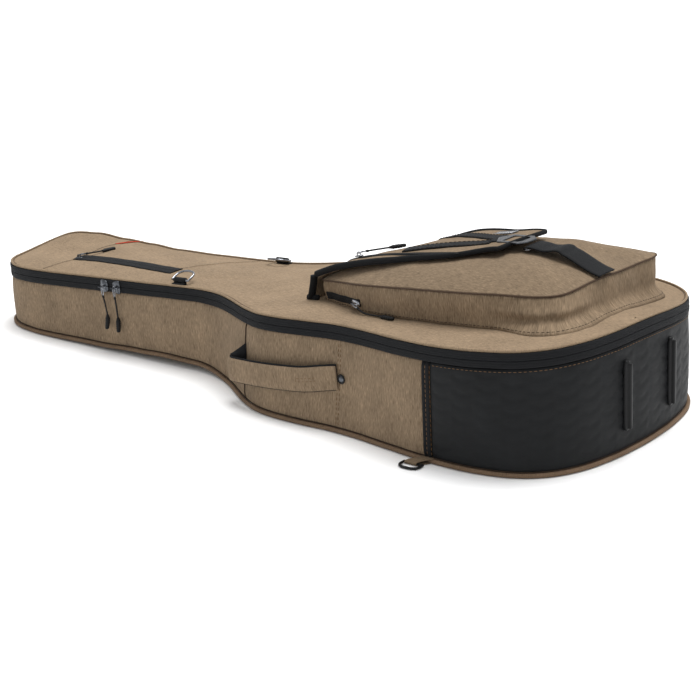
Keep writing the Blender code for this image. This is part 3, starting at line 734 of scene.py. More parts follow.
def emboss(s, z):
    """Slanting pressed leaves in staggered columns, as a share of their depth."""
    column = s / LEAF_WIDTH
    row = z / LEAF_HEIGHT + 0.5 * (int(column // 1) % 2)
    across = column % 1.0 - 0.5
    up = row % 1.0 - 0.5
    lean = up - 0.55 * abs(across)
    leaf = 1.0 - min(1.0, abs(lean) / 0.22)
    return smooth(leaf) * smooth((0.5 - abs(across)) / 0.12)


def bumper(start, end):
    """The black wrap round the tail, pressed with slanting leaves."""
    spots = run_of(start, end, 0.0030)
    rows = []
    for k in range(41):
        share = k / 40
        row = []
        for s in spots:
            z = WALL_LOW + share * (split(BAG.at(s).x) - WALL_LOW)
            pressed = LEAF_DEPTH * emboss(s, z) * smooth(min(share, 1 - share) / 0.08)
            row.append(wall_point(s, share, 0.0004 - pressed, (start, end)))
        rows.append(row)
    return thicken(grid("bumper_wrap_skin", rows), 0.0014, -1.0)


def seam_tape(name, start, end):
    """Two rounded black strips side by side over the seam."""
    spots = BAG.spots(start, end, 0.0010)
    rows = []
    for share in [k / 20 for k in range(21)]:
        row = []
        for s in spots:
            ridge = abs(sin(2 * pi * (s - start) / (end - start)))
            row.append(wall_point(s, share, 0.0006 + 0.0012 * ridge ** 0.6))
        rows.append(row)
    return thicken(grid(name, rows), 0.0010, -1.0)


def wall_line(name, s, out):
    """Tan stitches that climb the wall at one length."""
    low, high = 0.03, 0.97
    path = [wall_point(s, low + (high - low) * k / 14, out) for k in range(15)]
    return piece(stitches(name, path), THREAD_TAN, "shell")


def wall_crease(name, s):
    """A sewn seam that climbs the wall: a dark line painted as the shade in the groove where two panels
    meet.
    """
    path = [wall_point(s, 0.005 + 0.99 * k / 20, 0.0002) for k in range(21)]
    return piece(tube(name, path, 0.0007, sides=6), DARK_THREAD_AND_SHADE, "shell")


def level_line(name, start, end, drop, out):
    """Tan stitches that follow the zip band at a drop below it."""
    path = []
    for s in BAG.spots(start, end, 0.012):
        height = split(BAG.at(s).x) - ZIP_HALF - GAP - WALL_LOW
        path.append(wall_point(s, 1.0 - drop / height, out))
    return piece(stitches(name, path), THREAD_TAN, "shell")


def walls():
    """The gussets, the bumper wrap, the tapes over their joints and the stitches."""
    shoulder_near, shoulder_far = BAG.place(SHOULDER_SEAM), BAG.place(SHOULDER_SEAM, far=True)
    tape_near, tape_far = BAG.place(BUMPER_SEAM), BAG.place(BUMPER_SEAM, far=True)
    wrap_near, wrap_far = tape_near + SEAM_TAPE_WIDTH, tape_far - SEAM_TAPE_WIDTH
    neck = wall_piece("neck_gusset_cloth", shoulder_far, BAG.length + shoulder_near)
    piece(neck, CANVAS, "shell", ["neck_gusset"])
    near = wall_piece("waist_gusset_near_cloth", shoulder_near, tape_near)
    piece(near, CANVAS, "shell", ["waist_gusset_near"])
    far = wall_piece("waist_gusset_far_cloth", tape_far, shoulder_far)
    piece(far, CANVAS, "shell", ["waist_gusset_far"])
    piece(bumper(wrap_near, wrap_far), LEATHER, "shell", ["bumper_wrap"])
    near = seam_tape("seam_tape_near_strip", tape_near, wrap_near)
    piece(near, WEB, "shell", ["seam_tape_near"])
    far = seam_tape("seam_tape_far_strip", wrap_far, tape_far)
    piece(far, WEB, "shell", ["seam_tape_far"])
    for side, s in (("near", (tape_near + wrap_near) / 2), ("far", (tape_far + wrap_far) / 2)):
        wall_line("tape_stitch_middle_" + side, s, 0.0012)
    for side, s in (("near", wrap_near + 0.0010), ("far", wrap_far - 0.0010)):
        wall_line("tape_stitch_edge_" + side, s, 0.0010)
    level_line("wrap_stitch_top", wrap_near + 0.004, wrap_far - 0.004, 0.0042, 0.0010)
    # Dark lines painted as the shade in the shoulder seams' grooves.
    for side, s in (("near", shoulder_near), ("far", shoulder_far)):
        wall_crease("shoulder_seam_painted_shade_" + side, s)
    for side, s in (("near", BAG.place(SIDE_SEAM)), ("far", BAG.place(SIDE_SEAM, far=True))):
        for end, aside in (("left", -0.0022), ("right", 0.0022)):
            wall_line(f"side_stitch_{side}_{end}", s + aside, 0.0004)


def piping_path(out=0.0, z=0.0042):
    """The floor edge of the walls, all the way round."""
    path = []
    for s in BAG.spots(0.0, BAG.length, 0.006)[:-1]:
        spot = BAG.at(s)
        spot = BAG.at(s, out + flare(spot.x, 0.0))
        path.append(settle(Vector((spot.x, spot.y, z))))
    return path


def base():
    """The piping round the floor edge and the cloth underneath."""
    cord = tube("base_piping_cord", piping_path(0.0014, 0.0034), PIPING_R, closed=True, sides=12)
    piece(cord, TRIM_BROWN, "shell", ["back_piping"])
    seam = tube("base_piping_seam", piping_path(-0.0008, 0.0072), 0.0007, closed=True, sides=6)
    piece(seam, DARK_THREAD_AND_SHADE, "shell")
    rows = []
    stations = [BAG.length / 2 * k / 150 for k in range(1, 150)]
    for s in stations:
        edge = BAG.at(s, -0.0030 + flare(BAG.at(s).x, 0.0))
        row = []
        for k in range(25):
            t = 2 * k / 24 - 1
            lift = 0.0018 + 0.0020 * abs(t) ** 12
            quilt = 0.0004 * ripple(edge.x, edge.y * t, 3.0, 0.05)
            row.append(settle(Vector((edge.x, edge.y * t, lift + quilt))))
        rows.append(row)
    under = grid("underside_cloth", rows, flat_uv=lambda p: (p.y, p.x))
    piece(thicken(under, 0.0012, 1.0), TRIM, "shell", ["back_panel"])


# ---------------------------------------------------------------- main zip
BAND_PROFILE = [(0.0002, -0.0010), (0.0004, 0.0006), (0.0012, 0.0012), (0.0031, 0.0014), (0.0034, 0.0012),
                (0.0037, 0.0014), (0.0060, 0.0014), (0.0063, 0.0012), (0.0066, 0.0013), (0.0084, 0.0012),
                (0.0095, 0.0006), (0.0098, -0.0006)]


def zip_band(name, sign):
    """One half of the black band: the tape folded over its coil, with sewn lines along it."""
    rows = []
    spots = BAG.spots(0.0, BAG.length, 0.005)[:-1]
    for height, out in BAND_PROFILE:
        row = []
        for s in spots:
            spot = BAG.at(s, out - 0.0006)
            wander = 0.0004 * ripple(s, 2.0, 0.0, 0.04)
            if sign < 0:
                place = Vector((spot.x, spot.y, split(spot.x) - height + wander))
            else:
                place = on_lid((spot.x * LID_STRETCH, spot.y, height + wander))
            row.append(settle(place))
        rows.append(row)
    return thicken(grid(name, rows, closed=True), 0.0008, 0.0)


def coil(name, sign):
    """The nylon teeth that the band hides when the zip is shut."""
    path = []
    for s in BAG.spots(0.0, BAG.length, 0.006)[:-1]:
        spot = BAG.at(s, -0.0030)
        path.append(settle(Vector((spot.x, spot.y, split(spot.x) + sign * 0.0013))))
    return tube(name, path, 0.0010, closed=True, sides=8)


def main_zip():
    piece(zip_band("zip_band_lower", -1), TAPE, "shell", ["lower_zip_tape"])
    piece(zip_band("zip_band_upper", 1), TAPE, "lid", ["upper_zip_tape"])
    piece(coil("zip_coil_lower", -1), GRIP, "shell")
    piece(coil("zip_coil_upper", 1), GRIP, "lid")


# ---------------------------------------------------------------- lid
def rim_distance(x, y):
    return EDGE_TREE.find((x / LID_STRETCH, y, 0.0))[2]


def lid_height(x, y):
    """The lid's cloth over the split plane: a low crown, a soft edge and slack between the seams."""
    depth = rim_distance(x, y)
    edge = LID_FACE - 0.0030 * exp(-depth / 0.0045)
    neck = hump(x, -0.36, 0.34)
    crown = 0.0035 * neck * smooth(depth / 0.08) + 0.0012 * smooth(depth / 0.05)
    slack = 0.0011 * ripple(x * 0.6, y, 0.0, 0.045) + 0.0005 * ripple(x, y, 5.0, 0.018)
    slack *= smooth(depth / 0.03)
    crease = 0.0016 * exp(-((y + 0.055 - 0.25 * (x + 0.16)) / 0.008) ** 2) * hump(x, -0.10, 0.09)
    return edge + crown + slack - crease + rim_lift(x, y)


def lid_point(x, y, lift=0.0):
    return on_lid((x, y, lid_height(x, y) + lift))


def lid_skin():
    """The lid's top cloth: rings along its edge, then rows straight across."""
    lip = [(-0.0022, -0.0032), (-0.0016, -0.0008), (-0.0022, 0.0), (-0.0040, 0.0), (-0.0062, 0.0),
           (-0.0090, 0.0), (-0.0130, 0.0)]
    half = BAG.spots(0.0, BAG.length / 2, 0.0045)
    loop = half + [BAG.length - s for s in reversed(half[1:-1])]

    def ring_point(s, out, drop):
        spot = BAG.at(s, out)
        x = spot.x * LID_STRETCH
        return on_lid((x, spot.y, lid_height(x, spot.y) + drop))

    rows = [[ring_point(s, out, drop) for s in loop] for out, drop in lip]
    rim = grid("lid_rim", rows, closed=True, flat_uv=lambda p: (p.y, p.x))
    across = 44
    rows = []
    for s in half[1:-1]:
        near = BAG.at(s, lip[-1][0])
        row = []
        for k in range(across + 1):
            t = sin(pi / 2 * (2 * k / across - 1))
            x = near.x * LID_STRETCH
            row.append(lid_point(x, -near.y * t))
        rows.append(row)
    top = grid("lid_top", rows, flat_uv=lambda p: (p.y, p.x))
    skin = joined("lid_cloth", [rim, top])
    bm = bmesh.new()
    bm.from_mesh(skin.data)
    bmesh.ops.remove_doubles(bm, verts=bm.verts, dist=0.0002)
    bmesh.ops.recalc_face_normals(bm, faces=bm.faces)
    bm.to_mesh(skin.data)
    bm.free()
    return skin


def lid_seam(name, route):
    """A sewn seam on the lid: a dark line painted as the shade in its crease between two panels, with a low
    fold beside it.
    """
    line = catmull_rom(route, steps=10)
    # Painted crease shade along the seam.
    dark = tube(name, [lid_point(p.x, p.y) for p in line], 0.0007, sides=6)
    piece(dark, DARK_THREAD_AND_SHADE, "lid")
    path = [lid_point(p.x + 0.0022, p.y, -0.0003) for p in line]
    fold = sweep(name + "_fold", path, circle(0.0016, 8, 0.6), fixed=True,
                 scale=lambda t: round_ends(t, 0.02))
    piece(fold, CANVAS_LID, "lid")


def lid():
    """The lid's cloth, its piping, seams and lining, with thin dark lines painted as the shade in the
    creases at its edge and along its seams.
    """
    piece(lid_skin(), CANVAS_LID, "lid", ["lid_panel", "lid_foam"])
    edge = []
    for s in BAG.spots(0.0, BAG.length, 0.006)[:-1]:
        spot = BAG.at(s, -0.0020)
        edge.append(settle(on_lid((spot.x * LID_STRETCH, spot.y, ZIP_HALF + 0.0024))))
    cord = tube("lid_piping_cord", edge, 0.0017, closed=True, sides=10)
    piece(cord, CANVAS_LID, "lid", ["lid_piping"])
    # A thin dark line just inside the piping: painted shade of the crease between the piping and the lid's
    # cloth.
    inner = []
    for s in BAG.spots(0.0, BAG.length, 0.010):
        spot = BAG.at(s, -0.0056)
        inner.append(lid_point(spot.x * LID_STRETCH, spot.y, -0.0001))
    piece(tube("lid_edge_painted_shade_line", inner, 0.0005, sides=6), DARK_TRIM_AND_SHADE, "lid")
    lid_seam("lid_seam_neck", [(-0.2208, -0.0296), (-0.2125, -0.0075), (-0.2015, 0.0157), (-0.1860, 0.0450),
                               (-0.1719, 0.0710), (-0.1600, 0.0905)])
    lid_seam("lid_seam_head_near", [(-0.4440, -0.0400), (-0.4520, -0.0650), (-0.4600, -0.0900)])
    lid_seam("lid_seam_head_far", [(-0.4440, -0.0130), (-0.4470, 0.0200), (-0.4465, 0.0480),
                                   (-0.4420, 0.0900)])
    rows = []
    for s in [BAG.length / 2 * k / 110 for k in range(1, 110)]:
        near = BAG.at(s, -0.0045)
        ys = [-near.y * (2 * k / 20 - 1) for k in range(21)]
        rows.append([settle(on_lid((near.x * LID_STRETCH, y, 0.0016 - 0.0008 * abs(2 * k / 20 - 1) ** 9)))
                     for k, y in enumerate(ys)])
    inside = grid("lid_lining_cloth", rows, flat_uv=lambda p: (p.y, p.x))
    piece(thicken(inside, 0.0010), LINING, "lid", ["lid_lining"])


HEAD_ZIP_ROUTE = [(-0.4450, -0.0262), (-0.3980, -0.0250), (-0.3270, -0.0290), (-0.2535, -0.0370),
                  (-0.2150, -0.0395)]


def strip_on(name, route, width, surface, lift, thickness, across=7, ridge=None):
    """A sewn strip that follows a surface, given as a function of (x, y, lift)."""
    path = catmull_rom(route, steps=10)
    rows = [[] for _ in range(across)]
    for i, spot in enumerate(path):
        way = way_at(path, i)
        side = Vector((-way.y, way.x))
        for k, row in enumerate(rows):
            t = 2 * k / (across - 1) - 1
            place = spot + side * (width / 2 * t)
            high = ridge(t) if ridge else 0.0
            edge = -0.0004 * abs(t) ** 6
            row.append(surface(place.x, place.y, lift + high + edge))
    return thicken(grid(name, rows), thickness, 0.0)


RIBBON_ROUTE = [(-0.4463, 0.0585), (-0.4390, 0.0755), (-0.4310, 0.0935), (-0.4265, 0.1020)]


def head_pocket():
    """The document pocket's zip in the neck, and the red ribbon beside it."""
    def coil_and_seams(t):
        return 0.0008 * exp(-(t / 0.12) ** 2) + 0.0003 * exp(-((abs(t) - 0.6) / 0.08) ** 2)

    tape = strip_on("head_zip_tape", HEAD_ZIP_ROUTE, 0.026, lid_point, 0.0010, 0.0012, across=13,
                    ridge=coil_and_seams)
    piece(tape, TAPE, "lid", ["head_pocket_zip"])
    ribbon = strip_on("side_ribbon_loop", RIBBON_ROUTE, 0.0050, lid_point, 0.0012, 0.0007, across=4)
    piece(ribbon, RIBBON, "lid", ["side_ribbon"])


# ---------------------------------------------------------------- accessory pocket
POCKET_PAIRS = [  # places on the lid and the matching places on the pocket's top edge
    ((0.115, 0.000), (0.113, 0.000)), ((0.115, -0.050), (0.112, -0.050)),
    ((0.116, -0.074), (0.113, -0.077)), ((0.124, -0.0870), (0.122, -0.0905)),
    ((0.140, -0.0930), (0.139, -0.0965)), ((0.173, -0.1050), (0.172, -0.1085)),
    ((0.210, -0.1180), (0.209, -0.1215)), ((0.262, -0.1265), (0.262, -0.1300)),
    ((0.320, -0.1300), (0.320, -0.1335)), ((0.370, -0.1305), (0.370, -0.1335)),
    ((0.415, -0.1300), (0.415, -0.1290)), ((0.456, -0.1270), (0.455, -0.1190)),
    ((0.492, -0.1225), (0.487, -0.1045)), ((0.514, -0.1080), (0.508, -0.0870)),
    ((0.524, -0.0820), (0.516, -0.0590)), ((0.524, -0.0300), (0.519, -0.0200)),
    ((0.523, 0.0300), (0.521, 0.0300)), ((0.522, 0.0800), (0.521, 0.0850)),
    ((0.520, 0.1120), (0.524, 0.1200)), ((0.513, 0.1290), (0.516, 0.1385)),
    ((0.495, 0.1330), (0.494, 0.1410)), ((0.455, 0.1320), (0.455, 0.1385)),
    ((0.400, 0.1305), (0.400, 0.1350)), ((0.330, 0.1300), (0.330, 0.1335)),
    ((0.262, 0.1265), (0.262, 0.1300)), ((0.210, 0.1180), (0.209, 0.1215)),
    ((0.173, 0.1050), (0.172, 0.1085)), ((0.140, 0.0930), (0.139, 0.0965)),
    ((0.124, 0.0870), (0.122, 0.0905)), ((0.116, 0.0740), (0.113, 0.077)),
    ((0.115, 0.050), (0.112, 0.050))]
POCKET_STEPS = 9
POCKET_LOW = catmull_rom([low for low, _ in POCKET_PAIRS], closed=True, steps=POCKET_STEPS)
POCKET_HIGH = catmull_rom([high for _, high in POCKET_PAIRS], closed=True, steps=POCKET_STEPS)


def far_sag(x, y):
    """How far the flap falls away towards the pocket's far head corner."""
    return FAR_SAG * exp(-((x - 0.160) / 0.070) ** 2) * smooth((y + 0.060) / 0.160)


def pocket_wall_top(x, y):
    short = max(0.0, (0.42 - x) / 0.30)
    return POCKET_WALL_TOP - POCKET_WALL_DROP * short ** 2.2 - RIM_SAG * far_sag(x, y)


def pocket_top_height(x, y):
    """Height of the pocket's top edge, which sags at its near tail corner."""
    sag = 0.0045 * hump(x, 0.500, 0.070) * smooth((-y - 0.02) / 0.07)
    far_tail = 0.0030 * smooth((x - 0.42) / 0.08) * smooth((y + 0.02) / 0.10)
    return pocket_wall_top(x, y) - sag - far_tail


def pocket_wall_point(i, share, out=0.0):
    """A place on the pocket's wall at point i of its outline, share of the way up."""
    low, high = POCKET_LOW[i], POCKET_HIGH[i]
    a = Vector((low.x, low.y, lid_height(low.x, low.y) + 0.0002))
    b = Vector((high.x, high.y, pocket_top_height(high.x, high.y)))
    spot = a.lerp(b, share)
    way = POCKET_LOW[(i + 1) % len(POCKET_LOW)] - POCKET_LOW[i - 1]
    normal = Vector((way.y, -way.x, 0.0)).normalized()
    tall = (b - a).length
    puff = 0.0022 * sin(pi * share) ** 0.8
    fold = 0.0018 * ripple(spot.x * 1.1, spot.y * 1.1, spot.z * 0.5, 0.030)
    fold += 0.0010 * ripple(spot.x, spot.y, spot.z * 0.6 + 4.0, 0.012)
    corner = hump(spot.x, 0.490, 0.09) * smooth(-spot.y / 0.08)
    fold -= 0.0042 * corner * exp(-((share - 0.30) / 0.13) ** 2)
    fold += 0.0022 * corner * exp(-((share - 0.52) / 0.14) ** 2)
    rumple = smooth((spot.x - 0.22) / 0.10) * (1.0 if spot.y < 0 else 0.5)
    turn = spot.x * 14.0 + spot.z * 22.0 + 0.6 * ripple(spot.x, 0.0, spot.z, 0.06)
    fold += 0.0016 * rumple * sin(2 * pi * turn) * exp(-((share - 0.26) / 0.20) ** 2)
    slant = (spot.x - 0.225) - 0.35 * (spot.z - 0.03)
    fold -= 0.0018 * exp(-(slant / 0.006) ** 2) * (1.0 if spot.y < 0 else 0.0)
    foot = 0.0150 * smooth((spot.x - 0.43) / 0.08) * max(0.0, 1.0 - share / 0.42) ** 2
    foot += 0.0040 * max(0.0, 1.0 - share / 0.30) ** 2
    tuck = 0.0012 * (exp(-share * tall / 0.002) + exp(-(1 - share) * tall / 0.002)) - foot
    return spot + normal * (out + puff + fold * sin(pi * share) ** 0.6 - tuck)


def pocket_face_height(x, y, scale):
    slack = 0.0018 * ripple(x * 0.8, y * 1.3, 2.0, 0.040) + 0.0007 * ripple(x, y * 1.6, 6.0, 0.017)
    slack *= min(1.0, (1 - scale) * 6)
    fall = FACE_SAG * far_sag(x, y) * min(1.0, 5.0 * (1.0 - scale))
    fall += 0.0035 * smooth((x - 0.40) / 0.08) * smooth((y + 0.02) / 0.10) * min(1.0, 5.0 * (1.0 - scale))
    return pocket_top_height(x, y) + 0.0010 + POCKET_RISE * (1.0 - scale ** 3.5) - fall + slack


def pocket_shapes():
    """The pocket's wall and its crowned face."""
    count = len(POCKET_LOW)
    rows = [[on_lid(pocket_wall_point(i, k / 14)) for i in range(count)] for k in range(15)]
    wall = thicken(grid("pocket_wall_cloth", rows, closed=True), 0.0012, -1.0)
    rows = []
    for scale in (1.0, 0.992, 0.975, 0.95, 0.92, 0.88, 0.83, 0.77, 0.70, 0.62, 0.53, 0.43, 0.32, 0.20, 0.08):
        row = []
        for top in POCKET_HIGH:
            x, y = POCKET_CENTRE + (Vector(top) - POCKET_CENTRE) * scale
            row.append(on_lid((x, y, pocket_face_height(x, y, scale))))
        rows.append(row)
    face = grid("pocket_face_cloth", rows, closed=True, flat_uv=lambda p: (p.y, p.x))
    bm = bmesh.new()
    bm.from_mesh(face.data)
    rim = [e for e in bm.edges if e.is_boundary and (e.verts[0].co.xy - POCKET_CENTRE).length < 0.03]
    bmesh.ops.holes_fill(bm, edges=rim)
    bm.to_mesh(face.data)
    bm.free()
    return wall, thicken(face, 0.0012, -1.0)


def pocket():
    """The pocket's cloth, the piping on its top edge and the stitches at its foot."""
    wall, face = pocket_shapes()
    piece(wall, CANVAS, "lid", ["pocket_wall"])
    # The face's darker canvas is painted shade.
    piece(face, CANVAS_POCKET_PAINTED_SHADE, "lid", ["pocket_face"])
    edge = []
    for i in range(0, len(POCKET_HIGH), 2):
        place = pocket_wall_point(i, 1.0, 0.0020)
        edge.append(on_lid(place))
    cord = tube("pocket_piping_cord", edge, 0.0012, closed=True, sides=8)
    piece(cord, DARK_TRIM_AND_SHADE, "lid", ["pocket_piping"])
    low = [on_lid(pocket_wall_point(i, 0.075, 0.0004)) for i in range(0, len(POCKET_LOW), 3)]
    piece(stitches("pocket_base_stitch", low + low[:1]), DARK_THREAD_AND_SHADE, "lid")
    pocket_zip()


def pocket_zip():
    """The side zip near the pocket's head end, on the near wall."""
    places = [i for i in range(len(POCKET_LOW)) if POCKET_LOW[i].y < 0 and 0.1290 < POCKET_LOW[i].x < 0.2140]
    rows = []
    for k in range(9):
        t = 2 * k / 8 - 1
        row = []
        for i in places:
            base = pocket_wall_point(i, 0.5, 0.0)
            tall = pocket_top_height(base.x, base.y) - LID_FACE
            share = (0.0225 + 0.035 * (base.x - 0.129) - LID_FACE + 0.0052 * t) / tall
            ridge = 0.0007 * exp(-(t / 0.22) ** 2)
            row.append(on_lid(pocket_wall_point(i, share, 0.0012 + ridge)))
        rows.append(row)
    piece(thicken(grid("pocket_zip_strip", rows), 0.0012), TAPE, "lid", ["pocket_zip_tape"])


# ---------------------------------------------------------------- flap
def flap_height(x, y):
    along = min(1.0, max(0.0, (FLAP_TIP - x) / (FLAP_TIP - FLAP_START)))
    sag = 0.0045 * (y / 0.09) ** 2 * min(1.0, max(0.0, (x - 0.15) / 0.10))
    lifted = 0.0055 * smooth((x - 0.330) / 0.060)
    return FLAP_HINGE_Z + 0.0008 + FLAP_RISE * (1.0 - along ** 2.6) + lifted - sag - far_sag(x, y)


def flap_edge(x, side):
    """The flap's edge, near (side -1) or far (side 1); its near corner is worn narrower."""
    t = (x - FLAP_START) / (FLAP_TIP - FLAP_START)
    swell = 0.004 * sin(pi * min(1.0, t * 1.6))
    half = FLAP_FOOT_HALF + swell - (FLAP_FOOT_HALF - FLAP_TIP_HALF) * t ** 2.4
    return side * (half - (0.018 * smooth((x - 0.290) / 0.100) if side < 0 else 0.0))


def flap_point(x, y, lift=0.0):
    return on_lid((x, y, flap_height(x, y) + lift))


def flap_spot(share, across, lift=0.0):
    """A place share of the way to the tip and across from the near edge (-1) to the far edge (1)."""
    x = FLAP_START + (FLAP_TIP - FLAP_START) * share
    near, far = flap_edge(x, -1), flap_edge(x, 1)
    tongue = FLAP_TONGUE * smooth((share - 0.8) / 0.2) * smooth((across + 1.0) / 1.6)
    return flap_point(x + tongue, near + (far - near) * (across + 1.0) / 2.0, lift)


def flap_panel():
    """The flap's cloth, slack between its edges."""
    rows = []
    for k in range(61):
        row = []
        for j in range(33):
            across = 2 * j / 32 - 1
            inside = smooth((1 - abs(across)) * 4) * smooth(min(k, 60 - k) / 8)
            slack = 0.0011 * ripple(k / 200, across * 0.08, 9.0, 0.028) * inside
            row.append(flap_spot(k / 60, across, slack))
        rows.append(row)
    return thicken(grid("flap_cloth", rows, flat_uv=lambda p: (p.y, p.x)), FLAP_SHEET)


def flap_binding():
    """The tape round three sides of the flap, thinnest at the tip."""
    near = [flap_spot(k / 40, -1.02) for k in range(41)]
    front = [flap_spot(1.006, across) for across in (-0.9, -0.5, 0.0, 0.5, 0.9)]
    far = [flap_spot(k / 40, 1.02) for k in range(40, -1, -1)]
    path = catmull_rom(near + front + far, steps=2)
    section = circle(0.0028, 12, 0.0040 / 0.0028)
    return sweep("flap_edge_binding", path, section,
                 scale=lambda t: round_ends(t, 0.008) * (1.15 - 0.35 * hump(t, 0.5, 0.35)))


def flap():
    """The flap with its V of webbing, its zip and its badge."""
    # The flap's darker canvas is painted shade.
    piece(flap_panel(), CANVAS_POCKET_PAINTED_SHADE, "flap", ["flap_panel"])
    piece(flap_binding(), WEB, "flap", ["flap_binding"])
    lift = FLAP_SHEET / 2 + 0.0005 + WEBBING / 2
    for side, sign in (("near", -1), ("far", 1)):
        route = [(0.2350, sign * 0.0470), (0.2900, sign * 0.0310), (0.3560, sign * 0.0125)]
        strap = strip_on("flap_webbing_" + side, route, 0.025, flap_point, lift, WEBBING, across=9)
        piece(strap, WEB, "flap", ["flap_strap_" + side])
        for edge in (-1, 1):
            line = strip_line(route, 0.0105 * edge)
            row = [flap_point(p.x, p.y, lift + WEBBING / 2 + 0.0001) for p in line]
            piece(stitches(f"flap_webbing_stitch_{side}_{edge + 2}", row), DARK_THREAD_AND_SHADE, "flap")
    route = [(0.1340, -0.0440), (0.1720, -0.0570), (0.2300, -0.0670), (0.2900, -0.0700), (0.3400, -0.0650)]
    tape = strip_on("flap_zip_strip", route, 0.0090, flap_point, lift - 0.0004, 0.0010, across=9,
                    ridge=lambda t: 0.0008 * exp(-(t / 0.25) ** 2))
    piece(tape, TAPE, "flap", ["flap_zip_tape"])
    badge()


def badge():
    """A blank plate with a raised rim, flat on the flap."""
    rim = [(0.0003, 0.0), (0.0, 0.0003), (0.0, 0.0009), (0.0004, 0.0013), (0.0016, 0.0013), (0.0020, 0.0010)]
    plate = lofted("badge", superellipse(0.0220, 0.0340, 7.0, 40), rim)
    lift = FLAP_SHEET / 2 + 0.0004
    spot, ahead, beside = (flap_point(x, y, lift) for x, y in
                           ((0.3340, 0.0520), (0.3540, 0.0520), (0.3340, 0.0620)))
    up = (ahead - spot).cross(beside - spot)
    piece(moved(plate, pose_of(spot, ahead - spot, up)), NICKEL, "flap", ["badge_plate"])


def strip_line(route, aside):
    """A line beside a route."""
    path = catmull_rom(route, steps=6)
    made = []
    for i, spot in enumerate(path):
        way = way_at(path, i)
        made.append(spot + Vector((-way.y, way.x)) * aside)
    return made


def riser():
    """The flap's upright foot, and the folded binding at its near and far corners."""
    rows = []
    for k in range(9):
        share = k / 8
        row = []
        for j in range(37):
            y = 0.088 * (2 * j / 36 - 1)
            low = lid_height(FLAP_HINGE_X, y) - 0.0012
            high = FLAP_HINGE_Z - 0.0030 - far_sag(FLAP_HINGE_X, y)
            z = low + (high - low) * share
            bow = 0.0016 * sin(pi * share) + 0.0010 * ripple(y, z, 1.0, 0.02)
            row.append(on_lid((FLAP_HINGE_X - 0.0018 - bow, y, z)))
        rows.append(row)
    piece(thicken(grid("flap_riser_cloth", rows), 0.0018), CANVAS, "lid", ["flap_riser"])
    corner = [(0.0965, 0.0925, 0.0150), (0.1000, 0.0930, 0.0240), (0.1030, 0.0930, 0.0340),
              (0.1050, 0.0928, 0.0420), (0.1062, 0.0925, 0.0500)]
    section = circle(0.0050, 12, 0.0056 / 0.0050)
    for side, sign in (("near", -1), ("far", 1)):
        sink = far_sag(FLAP_HINGE_X, 0.09 * sign) - rim_lift(FLAP_HINGE_X, 0.09 * sign)
        path = [on_lid((x, sign * y, z - sink * (z - LID_FACE) / (FLAP_HINGE_Z - LID_FACE)))
                for x, y, z in corner]
        fold = sweep("riser_binding_" + side, catmull_rom(path, steps=6), section, up=(0, 1, 0),
                     scale=lambda t: round_ends(t, 0.06))
        piece(fold, WEB, "lid")
        low = lid_height(0.100, 0.0925 * sign) + 0.0028
        shares = (0.0, 0.1, 0.3, 0.5, 0.7, 0.9, 1.0)
        roll = [on_lid((0.0895 + 0.0225 * t, 0.0925 * sign, low)) for t in shares]
        foot = tube("riser_foot_" + side, roll, 0.0042, scale=lambda t: round_ends(t, 0.15))
        piece(foot, WEB, "lid")


def buckle():
    """The flat buckle at the flap's tip, the webbing through it and the hook below."""
    shape = [(-0.029, 0.0), (-0.018, 0.0215), (0.014, 0.0215), (0.025, 0.0100),
             (0.025, -0.0100), (0.014, -0.0215), (-0.018, -0.0215)]
    window = [(-0.013, 0.0145), (0.011, 0.0145), (0.015, 0.0100), (0.015, -0.0100), (0.011, -0.0145),
              (-0.013, -0.0145)]
    height = flap_height(0.355, 0.0) + FLAP_SHEET / 2 + WEBBING + 0.0020
    plate = extruded("buckle_plate", shape, -0.0010, 0.0010, [window])
    rounded(moved(plate, LID @ Matrix.Translation((0.3880, 0.0, height))), 0.0006, 3)
    piece(plate, GUNMETAL, "flap", ["buckle_frame"])
    loop = strip_on("buckle_webbing", [(0.3520, 0.0), (0.3700, 0.0), (0.4050, 0.0)], 0.0300,
                    lambda x, y, lift: on_lid((x, y, height + lift - 0.0016)), 0.0, WEBBING, across=7)
    piece(loop, WEB, "flap")
    half = [(0.4190, 0.0170, 0.0912), (0.4120, 0.0168, 0.0905), (0.4075, 0.0120, 0.0900)]
    wire = [(x, -y, z) for x, y, z in half] + [(0.4070, 0.0, 0.0900)] + half[::-1]
    hook = tube("hook_wire", [on_lid(p) for p in catmull_rom(wire, steps=5)], 0.0015)
    piece(hook, NICKEL, "lid", ["strap_hook"])


TAIL_STRAP_ROUTE = [(0.4105, 0.0935), (0.4160, 0.0950), (0.4280, 0.0938), (0.4380, 0.0918), (0.4480, 0.0922),
                    (0.4570, 0.0936), (0.4640, 0.0930), (0.4700, 0.0895), (0.4780, 0.0862), (0.4900, 0.0800),
                    (0.5050, 0.0722), (0.5160, 0.0676), (0.5250, 0.0648)]


def tail_strap():
    """Broad webbing from the hook over the pocket's tail edge, slack in the middle."""
    rows = []
    path = catmull_rom([(x, 0.0, z) for x, z in TAIL_STRAP_ROUTE], steps=5)
    for spot in path:
        cup = [0.0008 * abs(2 * k / 8 - 1) ** 2 for k in range(9)]
        rows.append([on_lid((spot.x, 0.019 * (2 * k / 8 - 1), spot.z - cup[k])) for k in range(9)])
    strap = thicken(grid("tail_strap_webbing", rows), 0.0018)
    piece(strap, WEB, "lid", ["tail_strap"])


# ---------------------------------------------------------------- handle
HANDLE_HEAD = Vector((0.0340, -0.1680, 0.0525))
HANDLE_TAIL = Vector((0.2140, -0.1880, 0.0710))
HANDLE_ROUTE = [(0.0330, -0.1665), (0.0180, -0.1655), (0.0080, -0.1700), (0.0120, -0.1780),
                (0.0320, -0.1840), (0.0750, -0.1920), (0.1150, -0.1955), (0.1550, -0.1955),
                (0.1900, -0.1925), (0.2140, -0.1872)]


